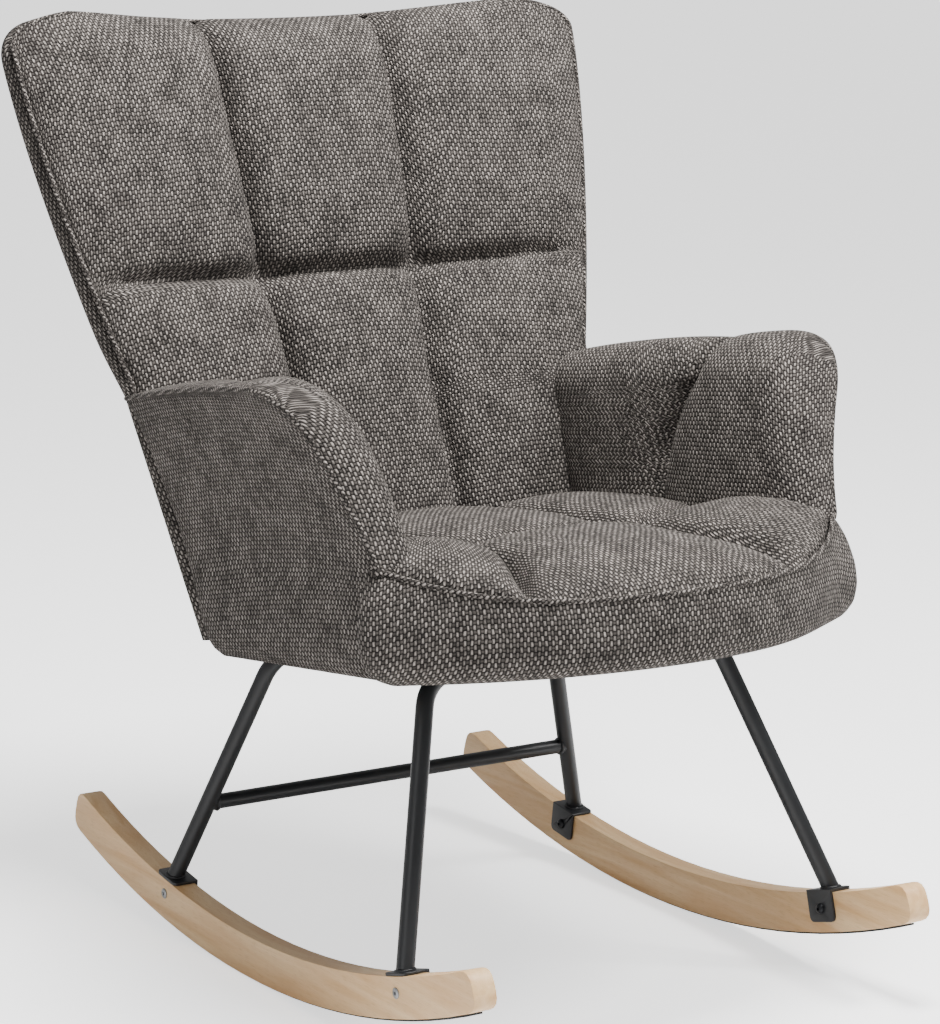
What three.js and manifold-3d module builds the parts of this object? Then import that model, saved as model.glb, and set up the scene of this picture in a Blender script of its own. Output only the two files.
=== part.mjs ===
// Upholstered rocking chair: a quilted high-back shell seat on two bent-tube leg frames and two
// wooden rockers. Millimetres. The chair faces -Y, +X is the sitter's left and +Z is up.
// The floor is z = 0 and the origin is under the middle of the chair's overall box.
import * as THREE from "three";
import { mergeVertices } from "three/addons/utils/BufferGeometryUtils.js";
import Module from "manifold-3d";

const wasm = await Module();
wasm.setup();

const degrees = Math.PI / 180;

// ---- Driving dimensions ----------------------------------------------------------------------

const gap = 0.3; // between faces that touch
const padGap = 0.6; // between soft faces that touch

// Rockers: y is measured from the lowest point of the curve.
const rockerGauge = 485; // between the two inner faces
const rockerThickness = 25;
const rockerDepth = 44;
const rockerBottomRadius = 1200;
const rockerTopRadius = 1180;
const rockerTopLag = -7; // how far the middle of the top curve sits towards the front
const rockerFrontReach = 460;
const rockerRearReach = 390;
const rockerTipRounding = 16;
const rockerSteps = 24; // straight steps in each long curve of a rocker
const stripThickness = 2;
const stripWidth = 18;
const stripEndInset = 24; // bare wood left at each tip

// Leg frames
const tubeDiameter = 18;
const tubeWall = 1.5;
const barDiameter = 16; // the cross bar between the rear legs
const bendRadius = 42; // centre line of the bends at the top
const frontFootY = -311;
const rearFootY = 166;
const frontBarY = -214; // where each frame's top run crosses under the seat
const rearBarY = 92;
const topRunHalf = 171; // half the distance between the leg lines at the top run
const crossBarHeight = 143.5;

// Rocker brackets and their hardware
const bracketWidth = 41;
const bracketDrop = 30;
const bracketSheet = 3;
const bracketCorner = 6;
const boltDiameter = 6;
const boltHeadDiameter = 11;
const boltHeadHeight = 3.2;
const boltSocketDiameter = 3.7;
const boltSocketDepth = 2;
const boltDrop = 16; // bolt axis below the rocker's top
const sleeveDiameter = 8;
const sleeveHeadDiameter = 11;
const sleeveHeadThickness = 1.2;
const nutWall = 6; // wood left beyond the end of the bolt and of the sleeve nut
const holeClearance = 0.3;
const drillOverrun = 5; // a drill starts and ends this far outside what it goes through

// Seat base: its own frame lies on the underside and tilts back.
const seatTilt = 7 * degrees;
const seatUnderside = 337; // height of the underside above y = 0
const seatBoardThickness = 20;
const seatBoardRecess = 4; // board above the underside plane
const coverThickness = 1;
const plateThickness = 3;
const plateLength = 46; // front to back
const plateWidth = 36;
const plateOffset = 96; // plate centre from the middle of the chair
const plateScrewPitch = 31;
const screwLength = 17;
const teeNutFlange = 19;
const teeNutFlangeThickness = 1.2;
const teeNutDepth = 9;
const boardBandInset = 16; // front edge of the board behind the band
const coverBandInset = 30;
const foamBandInset = 26;

// Seat upholstery, in the seat's frame
const seatHalfWidth = 268; // at the front corners, also the outside of the arms at the seat
const seatFrontY = -434;
const seatFrontBow = 136; // how far the middle of the front stands ahead of its ends
const seatCornerRadius = 40;
const bandReturn = 17; // how far the band runs back along the sides to the arms' panels
const seatPadBackGap = 38; // rear edge of the pad ahead of the foot of the back rest
const seatPadSetback = 6; // front edge of the pad behind the band's face
const seatPadRearRound = 30;
const seatPadRearDrop = 9;
const seatPadShoulderLead = 60; // the flat top ends this far behind the shoulder
const seatPadShoulderRound = 40;
const seatPadShoulderDrop = 4;
const cutterOverrun = 1; // how far a cutting outline passes the piece it cuts
const bandThickness = 10;
const bandBottom = -8;
const bandTop = 62;
const bandLeans = [-24, -7, 2, 3, 0]; // how far the face stands out, from the lower edge up
const seatPadTop = 118;
const seatPadFrontTop = 74;
const seatPadFall = 134; // length of the front of the pad that falls away

// Arms, in the seat's frame
const armFrontLead = 21; // front edge at the level of the seat, ahead of the band's seam
const armFrontLevel = 104;
const armStepRise = 8; // the front edge starts to come forward this far above the band
const armFrontLean = 17.4 * degrees;
const armTopHeight = 278;
const armBackRelief = 6;
const armRearDrop = 17; // how much lower the top is at the back rest
const armTopRounding = 76;
const armTopFlare = 69; // how far the outside leans out at the top of the arm's front
const armRearFlare = 21; // and at the top of its rear end
const armFlarePower = 1.6;
const armFlareLevel = 84; // the side is upright below this level
const armSeatThickness = 46;
const armTopThickness = 62;
const armPanelThickness = 11;
const armBoardThickness = 14;
const armBoardInset = 32; // from the top and front edges
const armBoardRearInset = 10;
const armCrown = 9;

// Back rest
const backFootY = 144; // a point on the front plane of the back rest
const backFootRise = 93; // its height above the underside of the seat
const backRecline = 20.75 * degrees;
const backTopFlare = 68; // how much wider the back rest is at the top than at the arms
const backTopZ = 962;
const backEarDrop = 32; // widest level below the top
const backTopDip = 22; // the top edge is lower in the middle
const backArmFlare = 20; // how much wider it is at the top of the arms than the seat
const backPadLap = 12; // how far the front pad runs behind each arm pad
const backPadFootDrop = 6;
const backTopRoll = 34; // height of the round top edge of the front pad
const backTopRollDepth = 22;
const backPuff = 14;
const sideRearLean = 0.541; // y per z of the rear edge of the sides
const sideRearFootY = 63.56; // rear edge of the sides at the level of the seat's underside
const shellBulge = 84; // how far the rear shell curves out behind its side edges
const shellThickness = 19;
const shellEdgeThickness = 8;
const shellBottomRise = 6; // lower edge of the shell above the underside of the seat
const backPadGap = 3; // between the front pad and the shell
const boardRelief = 3; // between the back board and the pad's rear face
const backEdgeThickness = 16;
const backBoardThickness = 9;
const backBoardHalfShare = 0.55; // of the back rest's half width
const backBoardTopInset = 70;
const backBoardBottomInset = 20;
const backBoardSideInset = 30;
const armPocketOverrun = 8; // the pockets for the boards run out of the pads by this many gaps
const backPocketOverrun = 12;
const backPadClearance = 12; // the front pad starts to widen this far above the arms
const backEarPower = 7; // a higher power makes the ears squarer
const backDipShare = 0.8; // the dip in the top edge covers this share of the width
const shellBlendHeight = 70; // the shell edge moves behind the front plane over this height
const backPadSpread = 18; // and is as wide as the shell this much higher

// ---- Derived levels --------------------------------------------------------------------------

const rockerCentre = (rockerGauge + rockerThickness) / 2;
const woodBottom = stripThickness + gap;
const bottomCentreZ = rockerBottomRadius + woodBottom;
const topCentreZ = woodBottom + rockerDepth + rockerTopRadius;
const boardBottom = seatBoardRecess;
const boardTop = boardBottom + seatBoardThickness;
const coverBottom = boardBottom - gap - coverThickness;
const plateTop = coverBottom - gap;
const plateBottom = plateTop - plateThickness;
const topRunLevel = plateBottom - gap - tubeDiameter / 2;
const screwHoleDiameter = boltDiameter + 2 * holeClearance;
const sleeveHoleDiameter = sleeveDiameter + 2 * holeClearance;
const sleeveLength = rockerThickness - nutWall;
const boltLength = rockerThickness - nutWall + bracketSheet + gap;
const seatFrontRadius = (seatHalfWidth ** 2 + seatFrontBow ** 2) / (2 * seatFrontBow);
const bandSeamY = seatFrontY + seatFrontBow + bandReturn;
const seatPadShoulder = seatFrontY + seatPadFall;
const seatPadRear = backFootY - seatPadBackGap;
const armFrontY = bandSeamY - armFrontLead;
const armRearLevel = armTopHeight - armRearDrop;
const sideRearRise = (armRearLevel - sideRearFootY * Math.sin(seatTilt))
  / (Math.cos(seatTilt) + sideRearLean * Math.sin(seatTilt));
const sideRearZ = seatUnderside + sideRearRise;
const sideRearY = sideRearFootY + sideRearLean * sideRearRise;
const backFootZ = seatUnderside + backFootRise;
const backPadBottomZ = backFootZ - backPadFootDrop;
const backWidestZ = backTopZ - backEarDrop;
const backArmHalf = seatHalfWidth + backArmFlare;
const backTopHalf = backArmHalf + backTopFlare;
const backPadHalf = seatHalfWidth - armSeatThickness + backPadLap;

// ---- Geometry helpers ------------------------------------------------------------------------

function solidOf(geometry) {
  const bare = geometry.clone();
  bare.deleteAttribute("normal");
  bare.deleteAttribute("uv");
  const merged = mergeVertices(bare, 1e-3);
  const vertProperties = merged.attributes.position.array;
  const triVerts = new Uint32Array(merged.index.array);
  return new wasm.Manifold(new wasm.Mesh({ numProp: 3, vertProperties, triVerts }));
}

function geometryOf(solid) {
  const mesh = solid.getMesh();
  const geometry = new THREE.BufferGeometry();
  geometry.setAttribute("position", new THREE.BufferAttribute(mesh.vertProperties, 3));
  geometry.setIndex(new THREE.BufferAttribute(mesh.triVerts, 1));
  geometry.computeVertexNormals();
  return geometry;
}

function cut(geometry, ...tools) {
  let solid = solidOf(geometry);
  for (const tool of tools) solid = solid.subtract(solidOf(tool));
  return geometryOf(solid);
}

// An outline drawn in (y, z) and given a width along x.
function sideExtrusion(shape, x0, x1, curveSegments = 6) {
  const options = { depth: x1 - x0, bevelEnabled: false, curveSegments };
  const turn = new THREE.Matrix4().set(0, 0, 1, x0, 1, 0, 0, 0, 0, 1, 0, 0, 0, 0, 0, 1);
  return new THREE.ExtrudeGeometry(shape, options).applyMatrix4(turn);
}

// An outline drawn in (x, y) and given a height along z.
function planExtrusion(shape, z0, z1, curveSegments = 6) {
  const options = { depth: z1 - z0, bevelEnabled: false, curveSegments };
  return new THREE.ExtrudeGeometry(shape, options).translate(0, 0, z0);
}

// A box of a few segments whose points are moved to place(u, v, w), each from 0 to 1.
function shapedBox(across, deep, high, place) {
  const geometry = new THREE.BoxGeometry(1, 1, 1, across, deep, high);
  const position = geometry.attributes.position;
  for (let i = 0; i < position.count; i++) {
    const u = position.getX(i) + 0.5;
    const v = position.getY(i) + 0.5;
    const w = position.getZ(i) + 0.5;
    position.setXYZ(i, ...place(u, v, w));
  }
  return geometry;
}

// A cylinder along x through (y, z).
function crossCylinder(diameter, x0, x1, y, z, sides = 12) {
  const cylinder = new THREE.CylinderGeometry(diameter / 2, diameter / 2, x1 - x0, sides);
  return cylinder.rotateZ(-Math.PI / 2).translate((x0 + x1) / 2, y, z);
}

// A turned piece: (radius, height) points around an axis that is then laid along +x.
function turnedAlongX(profile, sides = 10) {
  const points = profile.map(([radius, height]) => new THREE.Vector2(radius, height));
  return new THREE.LatheGeometry(points, sides).rotateZ(-Math.PI / 2);
}

function turnedAlongZ(profile, sides = 8) {
  const points = profile.map(([radius, height]) => new THREE.Vector2(radius, height));
  return new THREE.LatheGeometry(points, sides).rotateX(Math.PI / 2);
}

function cylinderBetween(start, end, diameter, sides = 12) {
  const along = new THREE.Vector3().subVectors(end, start);
  const cylinder = new THREE.CylinderGeometry(diameter / 2, diameter / 2, along.length(), sides);
  const turn = new THREE.Quaternion();
  turn.setFromUnitVectors(new THREE.Vector3(0, 1, 0), along.clone().normalize());
  cylinder.applyQuaternion(turn);
  const middle = new THREE.Vector3().addVectors(start, end).multiplyScalar(0.5);
  return cylinder.translate(middle.x, middle.y, middle.z);
}

const mix = THREE.MathUtils.lerp;
const clamp = THREE.MathUtils.clamp;

// ---- Materials -------------------------------------------------------------------------------

const finishes = {
  beech: { color: 0xdcb890, roughness: 0.55, metalness: 0 },
  blackSteel: { color: 0x17181a, roughness: 0.42, metalness: 0.4 },
  zincSteel: { color: 0x8e9194, roughness: 0.4, metalness: 0.9 },
  rubber: { color: 0x141414, roughness: 0.85, metalness: 0 },
  plywood: { color: 0xc9a877, roughness: 0.7, metalness: 0 },
  foam: { color: 0xe6dfc8, roughness: 0.9, metalness: 0 },
  weave: { color: 0x4a4745, roughness: 0.95, metalness: 0 },
  liner: { color: 0x1a1a1b, roughness: 0.95, metalness: 0 },
};

const chair = new THREE.Group();

function addMesh(parent, name, geometry, finish) {
  const mesh = new THREE.Mesh(geometry, new THREE.MeshStandardMaterial(finishes[finish]));
  mesh.name = name;
  parent.add(mesh);
  return mesh;
}

// The left side is drawn once; the right side is its mirror image.
function addSide(parent, side) {
  const group = new THREE.Group();
  if (side === "right") group.scale.x = -1;
  parent.add(group);
  return group;
}

const sides = ["left", "right"];

// ---- Rockers and their floor strips ----------------------------------------------------------

function rockerBottomAt(y) {
  return bottomCentreZ - Math.sqrt(rockerBottomRadius ** 2 - y * y);
}

function rockerTopAt(y) {
  const d = y - rockerTopLag;
  return topCentreZ - Math.sqrt(rockerTopRadius ** 2 - d * d);
}

function rockerTopSlope(y) {
  return Math.asin((y - rockerTopLag) / rockerTopRadius);
}

// Evenly spaced angles from one end of an arc to the other.
function arcPoints(centreY, centreZ, radius, y0, y1, count) {
  const from = Math.asin((y0 - centreY) / radius) - Math.PI / 2;
  const to = Math.asin((y1 - centreY) / radius) - Math.PI / 2;
  const curve = new THREE.EllipseCurve(centreY, centreZ, radius, radius, from, to, to < from);
  return curve.getPoints(count);
}

// The tip is cut square to the curve, and both of its corners are rounded.
function rockerTip(y, towards) {
  const corner = new THREE.Vector2(y, rockerBottomAt(y));
  const lean = Math.asin(y / rockerBottomRadius);
  const up = new THREE.Vector2(-Math.sin(lean), Math.cos(lean));
  let reach = rockerDepth;
  const refinements = 8;
  for (let i = 0; i < refinements; i++) {
    const point = corner.clone().addScaledVector(up, reach);
    reach += rockerTopAt(point.x) - point.y;
  }
  const top = corner.clone().addScaledVector(up, reach);
  const r = Math.min(rockerTipRounding, reach * 0.45);
  const beforeCorner = new THREE.Vector2(y - towards * r, rockerBottomAt(y - towards * r));
  const afterTop = new THREE.Vector2(top.x - towards * r, rockerTopAt(top.x - towards * r));
  const lower = new THREE.QuadraticBezierCurve(
    beforeCorner, corner, corner.clone().addScaledVector(up, r));
  const upper = new THREE.QuadraticBezierCurve(
    corner.clone().addScaledVector(up, reach - r), top, afterTop);
  return {
    lower: lower.getPoints(4),
    upper: upper.getPoints(4),
    bottomY: beforeCorner.x,
    topY: afterTop.x,
  };
}

function rockerGeometry() {
  const front = rockerTip(-rockerFrontReach, -1);
  const rear = rockerTip(rockerRearReach, 1);
  const bottom = arcPoints(
    0, bottomCentreZ, rockerBottomRadius, front.bottomY, rear.bottomY, rockerSteps);
  const top = arcPoints(rockerTopLag, topCentreZ, rockerTopRadius, rear.topY, front.topY, rockerSteps);
  const outline = [
    ...bottom.slice(1, -1), ...rear.lower, ...rear.upper, ...top.slice(1, -1),
    ...front.upper.reverse(), ...front.lower.reverse(),
  ];
  const x0 = rockerGauge / 2;
  const x1 = x0 + rockerThickness;
  const blank = sideExtrusion(new THREE.Shape(outline), x0, x1);
  const drills = [frontFootY, rearFootY].map((footY) => {
    const { y, z } = boltCentre(footY);
    return crossCylinder(sleeveHoleDiameter, x0 - drillOverrun, x1 + drillOverrun, y, z);
  });
  return cut(blank, ...drills);
}

// The middle of the bolt hole below a foot, in the side view.
function boltCentre(footY) {
  const lean = rockerTopSlope(footY);
  return {
    y: footY + boltDrop * Math.sin(lean),
    z: rockerTopAt(footY) - boltDrop * Math.cos(lean),
  };
}

function stripGeometry() {
  const y0 = -(rockerFrontReach - stripEndInset);
  const y1 = rockerRearReach - stripEndInset;
  const inner = arcPoints(0, bottomCentreZ, rockerBottomRadius + gap, y1, y0, rockerSteps);
  const outer = arcPoints(0, bottomCentreZ, rockerBottomRadius + woodBottom, y0, y1, rockerSteps);
  const x0 = rockerCentre - stripWidth / 2;
  return sideExtrusion(new THREE.Shape([...outer, ...inner]), x0, x0 + stripWidth);
}

for (const side of sides) {
  const group = addSide(chair, side);
  addMesh(group, `${side}_rocker`, rockerGeometry(), "beech");
  addMesh(group, `${side}_rocker_strip`, stripGeometry(), "rubber");
}

// ---- Brackets, bolts and sleeve nuts on the rockers --------------------------------------------

// The flat deck rests on the hollow curve of the wood at its two ends.
const deckLift = gap + rockerTopRadius
  - Math.sqrt(rockerTopRadius ** 2 - (bracketWidth / 2) ** 2);

// Drawn about the point on the rocker's top under the foot, with z square to the wood.
function bracketGeometry() {
  const inner = -rockerThickness / 2 - gap - bracketSheet;
  const outer = inner + bracketSheet;
  const half = bracketWidth / 2;
  const flange = new THREE.Shape();
  flange.moveTo(-half, gap + bracketSheet);
  flange.lineTo(-half, -bracketDrop + bracketCorner);
  flange.absarc(-half + bracketCorner, -bracketDrop + bracketCorner, bracketCorner,
    Math.PI, 1.5 * Math.PI, false);
  flange.lineTo(half - bracketCorner, -bracketDrop);
  flange.absarc(half - bracketCorner, -bracketDrop + bracketCorner, bracketCorner,
    1.5 * Math.PI, 2 * Math.PI, false);
  flange.lineTo(half, gap + bracketSheet);
  const upright = sideExtrusion(flange, inner, outer, 3);

  const reach = rockerThickness / 2;
  const deck = new THREE.Shape();
  deck.moveTo(inner, -half);
  deck.lineTo(reach - bracketCorner, -half);
  deck.absarc(reach - bracketCorner, -half + bracketCorner, bracketCorner,
    -0.5 * Math.PI, 0, false);
  deck.absarc(reach - bracketCorner, half - bracketCorner, bracketCorner,
    0, 0.5 * Math.PI, false);
  deck.lineTo(inner, half);
  const plate = planExtrusion(deck, deckLift, deckLift + bracketSheet, 3);
  const hole = crossCylinder(
    screwHoleDiameter, inner - drillOverrun, outer + drillOverrun, 0, -boltDrop);
  const solid = solidOf(upright).add(solidOf(plate)).subtract(solidOf(hole));
  return geometryOf(solid);
}

function bracketBoltGeometry() {
  const head = boltHeadDiameter / 2;
  const shank = boltDiameter / 2;
  const profile = [
    [0, -boltHeadHeight], [head * 0.55, -boltHeadHeight], [head * 0.9, -boltHeadHeight * 0.55],
    [head, 0], [shank, 0], [shank, boltLength], [0, boltLength],
  ];
  const top = -boltHeadHeight;
  const socket = crossCylinder(boltSocketDiameter, top - 1, top + boltSocketDepth, 0, 0, 6);
  return cut(turnedAlongX(profile), socket);
}

function sleeveNutGeometry() {
  const head = sleeveHeadDiameter / 2;
  const body = sleeveDiameter / 2;
  const bore = boltDiameter / 2 + holeClearance;
  const profile = [
    [bore, -sleeveLength], [body, -sleeveLength], [body, 0], [head, 0],
    [head, sleeveHeadThickness], [bore, sleeveHeadThickness], [bore, -sleeveLength],
  ];
  return turnedAlongX(profile);
}

const feet = { front: frontFootY, rear: rearFootY };

for (const side of sides) {
  const group = addSide(chair, side);
  for (const [end, y] of Object.entries(feet)) {
    const foot = new THREE.Group();
    foot.position.set(rockerCentre, y, rockerTopAt(y));
    foot.rotation.x = rockerTopSlope(y);
    group.add(foot);
    const name = `${end}_${side}`;
    addMesh(foot, `${name}_bracket`, bracketGeometry(), "blackSteel");
    const bolt = addMesh(foot, `${name}_bracket_bolt`, bracketBoltGeometry(), "blackSteel");
    bolt.position.set(-rockerThickness / 2 - 2 * gap - bracketSheet, 0, -boltDrop);
    const nut = addMesh(foot, `${name}_sleeve_nut`, sleeveNutGeometry(), "zincSteel");
    nut.position.set(rockerThickness / 2 + gap, 0, -boltDrop);
  }
}

// ---- Bent tube leg frames ----------------------------------------------------------------------

// From the seat's frame to the chair's.
function fromSeat(y, z) {
  return {
    y: y * Math.cos(seatTilt) + z * Math.sin(seatTilt),
    z: seatUnderside - y * Math.sin(seatTilt) + z * Math.cos(seatTilt),
  };
}

// From the chair's frame to the seat's.
function toSeat(y, z) {
  const rise = z - seatUnderside;
  return {
    y: y * Math.cos(seatTilt) - rise * Math.sin(seatTilt),
    z: y * Math.sin(seatTilt) + rise * Math.cos(seatTilt),
  };
}

// A curve that stops at the given points, so that a sweep gets one ring at each of them.
class StationCurve extends THREE.Curve {
  constructor(stations) {
    super();
    this.stations = stations;
  }

  getPoint(t, target = new THREE.Vector3()) {
    const at = clamp(t, 0, 1) * (this.stations.length - 1);
    const i = Math.min(Math.floor(at), this.stations.length - 2);
    return target.lerpVectors(this.stations[i], this.stations[i + 1], at - i);
  }

  getPointAt(t, target) {
    return this.getPoint(t, target);
  }
}

function ringShape(diameter, wall) {
  const ring = new THREE.Shape();
  ring.absarc(0, 0, diameter / 2, 0, 2 * Math.PI, false);
  const bore = new THREE.Path();
  bore.absarc(0, 0, diameter / 2 - wall, 0, 2 * Math.PI, true);
  ring.holes.push(bore);
  return ring;
}

// The straight line of one leg, from its foot to where it would meet the top run.
function legLine(footY, barY) {
  const run = fromSeat(toSeatY(barY), topRunLevel);
  return {
    foot: new THREE.Vector3(rockerCentre, footY, rockerTopAt(footY)),
    top: new THREE.Vector3(topRunHalf, run.y, run.z),
  };
}

// The seat-frame y of the point of the top-run level that lies at a given chair y.
function toSeatY(y) {
  return (y - topRunLevel * Math.sin(seatTilt)) / Math.cos(seatTilt);
}

function legFrameGeometry(footY, barY) {
  const { foot, top } = legLine(footY, barY);
  const along = new THREE.Vector3().subVectors(top, foot).normalize();
  const inward = new THREE.Vector3(-1, 0, 0);
  const turn = along.angleTo(inward);
  const tangent = bendRadius * Math.tan(turn / 2);
  const bendStart = top.clone().addScaledVector(along, -tangent);
  const normal = inward.clone().addScaledVector(along, -along.dot(inward)).normalize();
  const centre = bendStart.clone().addScaledVector(normal, bendRadius);
  const half = [foot.clone().addScaledVector(along, -tubeDiameter / 2)];
  const bendSteps = 5;
  for (let i = 0; i <= bendSteps; i++) {
    const angle = (turn * i) / bendSteps;
    const point = centre.clone()
      .addScaledVector(normal, -bendRadius * Math.cos(angle))
      .addScaledVector(along, bendRadius * Math.sin(angle));
    half.push(point);
  }
  const mirrored = half.map((p) => new THREE.Vector3(-p.x, p.y, p.z)).reverse();
  const path = new StationCurve([...half, ...mirrored]);
  const tube = new THREE.ExtrudeGeometry(ringShape(tubeDiameter, tubeWall), {
    steps: path.stations.length - 1,
    curveSegments: 6,
    extrudePath: path,
  });
  return cut(tube, ...sides.map((side) => deckCutter(footY, side)));
}

// Everything below the top face of a bracket's deck, to trim a leg's end to it.
function deckCutter(footY, side) {
  const width = 5 * tubeDiameter;
  const height = 40;
  const block = new THREE.BoxGeometry(width, width, height);
  block.translate(0, 0, deckLift + bracketSheet + gap - height / 2);
  block.rotateX(rockerTopSlope(footY));
  const x = side === "left" ? rockerCentre : -rockerCentre;
  return block.translate(x, footY, rockerTopAt(footY));
}

addMesh(chair, "front_leg_frame", legFrameGeometry(frontFootY, frontBarY), "blackSteel");
addMesh(chair, "rear_leg_frame", legFrameGeometry(rearFootY, rearBarY), "blackSteel");

// ---- Cross bar between the rear legs -----------------------------------------------------------

function crossBarGeometry() {
  const { foot, top } = legLine(rearFootY, rearBarY);
  const share = (crossBarHeight - foot.z) / (top.z - foot.z);
  const end = foot.clone().lerp(top, share);
  const options = { steps: 1, depth: 2 * end.x, bevelEnabled: false, curveSegments: 6 };
  const bar = new THREE.ExtrudeGeometry(ringShape(barDiameter, tubeWall), options);
  bar.rotateY(Math.PI / 2).translate(-end.x, end.y, end.z);
  const coping = tubeDiameter + 2 * gap;
  const mirrorX = (p) => new THREE.Vector3(-p.x, p.y, p.z);
  return cut(
    bar,
    cylinderBetween(foot, top, coping, 16),
    cylinderBetween(mirrorX(foot), mirrorX(top), coping, 16),
  );
}

addMesh(chair, "rear_cross_bar", crossBarGeometry(), "blackSteel");

// ---- Seat base: board, dust cover, mounting plates, screws and tee nuts ---------------------------

const seat = new THREE.Group();
seat.position.z = seatUnderside;
seat.rotation.x = -seatTilt;
chair.add(seat);

const armBoardOuter = seatHalfWidth - armPanelThickness - padGap;
const armBoardInner = armBoardOuter - armBoardThickness;

const platePlaces = [];
for (const [end, barY] of [["front", frontBarY], ["rear", rearBarY]]) {
  for (const [side, sign] of [["left", 1], ["right", -1]]) {
    platePlaces.push({ name: `${end}_${side}`, x: sign * plateOffset, y: toSeatY(barY) });
  }
}

const screwPlaces = platePlaces.flatMap(({ name, x, y }) => [
  { name: `${name}_screw_1`, x, y: y - plateScrewPitch / 2 },
  { name: `${name}_screw_2`, x, y: y + plateScrewPitch / 2 },
]);

function addHoles(shape, diameter, places) {
  for (const { x, y } of places) {
    const hole = new THREE.Path();
    hole.absarc(x, y, diameter / 2, 0, 2 * Math.PI, true);
    shape.holes.push(hole);
  }
  return shape;
}

// The front of the seat's plan from the left shoulder to the right one, set in by an inset:
// two round corners with a bowed front between them.
function seatFront(inset, shoulderY, divisions = 12) {
  const front = seatFrontRadius - inset;
  const centreY = seatFrontY + seatFrontRadius;
  const corner = Math.max(seatCornerRadius - inset, 6);
  const cornerX = seatHalfWidth - inset - corner;
  const cornerY = centreY - Math.sqrt((front - corner) ** 2 - cornerX ** 2);
  const meet = Math.atan2(cornerX, centreY - cornerY);
  const start = Math.asin(clamp((cornerY - shoulderY) / corner, 0, 1));
  const down = 1.5 * Math.PI;
  const arcs = [
    new THREE.EllipseCurve(-cornerX, cornerY, corner, corner, Math.PI + start, down - meet),
    new THREE.EllipseCurve(0, centreY, front, front, down - meet, down + meet),
    new THREE.EllipseCurve(cornerX, cornerY, corner, corner, down + meet, 2 * Math.PI - start),
  ];
  const counts = [4, divisions, 4];
  const points = arcs.flatMap((arc, i) => arc.getPoints(counts[i]).slice(i ? 1 : 0));
  if (cornerY > shoulderY) return points;
  const half = seatHalfWidth - inset;
  return [new THREE.Vector2(-half, shoulderY), ...points, new THREE.Vector2(half, shoulderY)];
}

// The whole plan: the wide front, and the narrower part between the arms. Its rear is straight,
// or follows the inside of the rear shell when no rear is given.
function seatPlan(inset, sideHalf, shoulderY, rearY) {
  const rear = [1, 0.75, 0.5, 0.25, 0, -0.25, -0.5, -0.75, -1].map((share) => {
    const x = share * sideHalf;
    return new THREE.Vector2(x, seatRearAt(x));
  });
  const straight = [new THREE.Vector2(sideHalf, rearY), new THREE.Vector2(-sideHalf, rearY)];
  return new THREE.Shape([
    ...(rearY === undefined ? rear : straight),
    new THREE.Vector2(-sideHalf, shoulderY),
    ...seatFront(inset, shoulderY),
    new THREE.Vector2(sideHalf, shoulderY),
  ]);
}

// The inside of the shell at a level, that of the board's underside if none is given, in the
// seat's frame.
function seatRearAt(x, level = boardBottom) {
  const { z } = fromSeat(0, level - padGap);
  const height = z - shellOuterAt(0, z) * Math.tan(seatTilt);
  return toSeat(shellInnerAt(x / backHalfAt(height), height), height).y - 2 * padGap;
}

const bandShoulder = bandSeamY - padGap;
const padShoulder = armFrontY - padGap;
const foamInset = bandThickness + padGap;

function seatBoardGeometry() {
  const plan = seatPlan(foamInset + boardBandInset, armBoardInner - padGap, bandShoulder);
  addHoles(plan, sleeveHoleDiameter, screwPlaces);
  return planExtrusion(plan, boardBottom, boardTop);
}

function dustCoverGeometry() {
  const plan = seatPlan(foamInset + coverBandInset, armBoardInner - padGap, bandShoulder);
  addHoles(plan, screwHoleDiameter, screwPlaces);
  return planExtrusion(plan, coverBottom, coverBottom + coverThickness, 5);
}

function plateGeometry({ x, y }) {
  const halfX = plateWidth / 2;
  const halfY = plateLength / 2;
  const r = bracketCorner;
  const shape = new THREE.Shape();
  shape.absarc(halfX - r, halfY - r, r, 0, 0.5 * Math.PI, false);
  shape.absarc(-halfX + r, halfY - r, r, 0.5 * Math.PI, Math.PI, false);
  shape.absarc(-halfX + r, -halfY + r, r, Math.PI, 1.5 * Math.PI, false);
  shape.absarc(halfX - r, -halfY + r, r, 1.5 * Math.PI, 2 * Math.PI, false);
  const pitch = plateScrewPitch / 2;
  addHoles(shape, screwHoleDiameter, [{ x: 0, y: -pitch }, { x: 0, y: pitch }]);
  return planExtrusion(shape, plateBottom, plateTop, 5).translate(x, y, 0);
}

function screwGeometry() {
  const head = boltHeadDiameter / 2;
  const shank = boltDiameter / 2;
  const profile = [
    [0, -boltHeadHeight], [head * 0.6, -boltHeadHeight], [head, -boltHeadHeight * 0.4], [head, 0],
    [shank, 0], [shank, screwLength], [0, screwLength],
  ];
  const radius = boltSocketDiameter / 2;
  const socket = new THREE.CylinderGeometry(radius, radius, 2 * boltSocketDepth, 6);
  socket.rotateX(Math.PI / 2).translate(0, 0, -boltHeadHeight);
  return cut(turnedAlongZ(profile), socket);
}

// The flange lies on top of the board and the barrel goes down into it.
function teeNutGeometry() {
  const bore = boltDiameter / 2 + holeClearance;
  const body = sleeveDiameter / 2;
  const flange = teeNutFlange / 2;
  const profile = [
    [bore, -teeNutDepth], [body, -teeNutDepth], [body, 0], [flange, 0],
    [flange, teeNutFlangeThickness], [bore, teeNutFlangeThickness], [bore, -teeNutDepth],
  ];
  return turnedAlongZ(profile);
}

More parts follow.
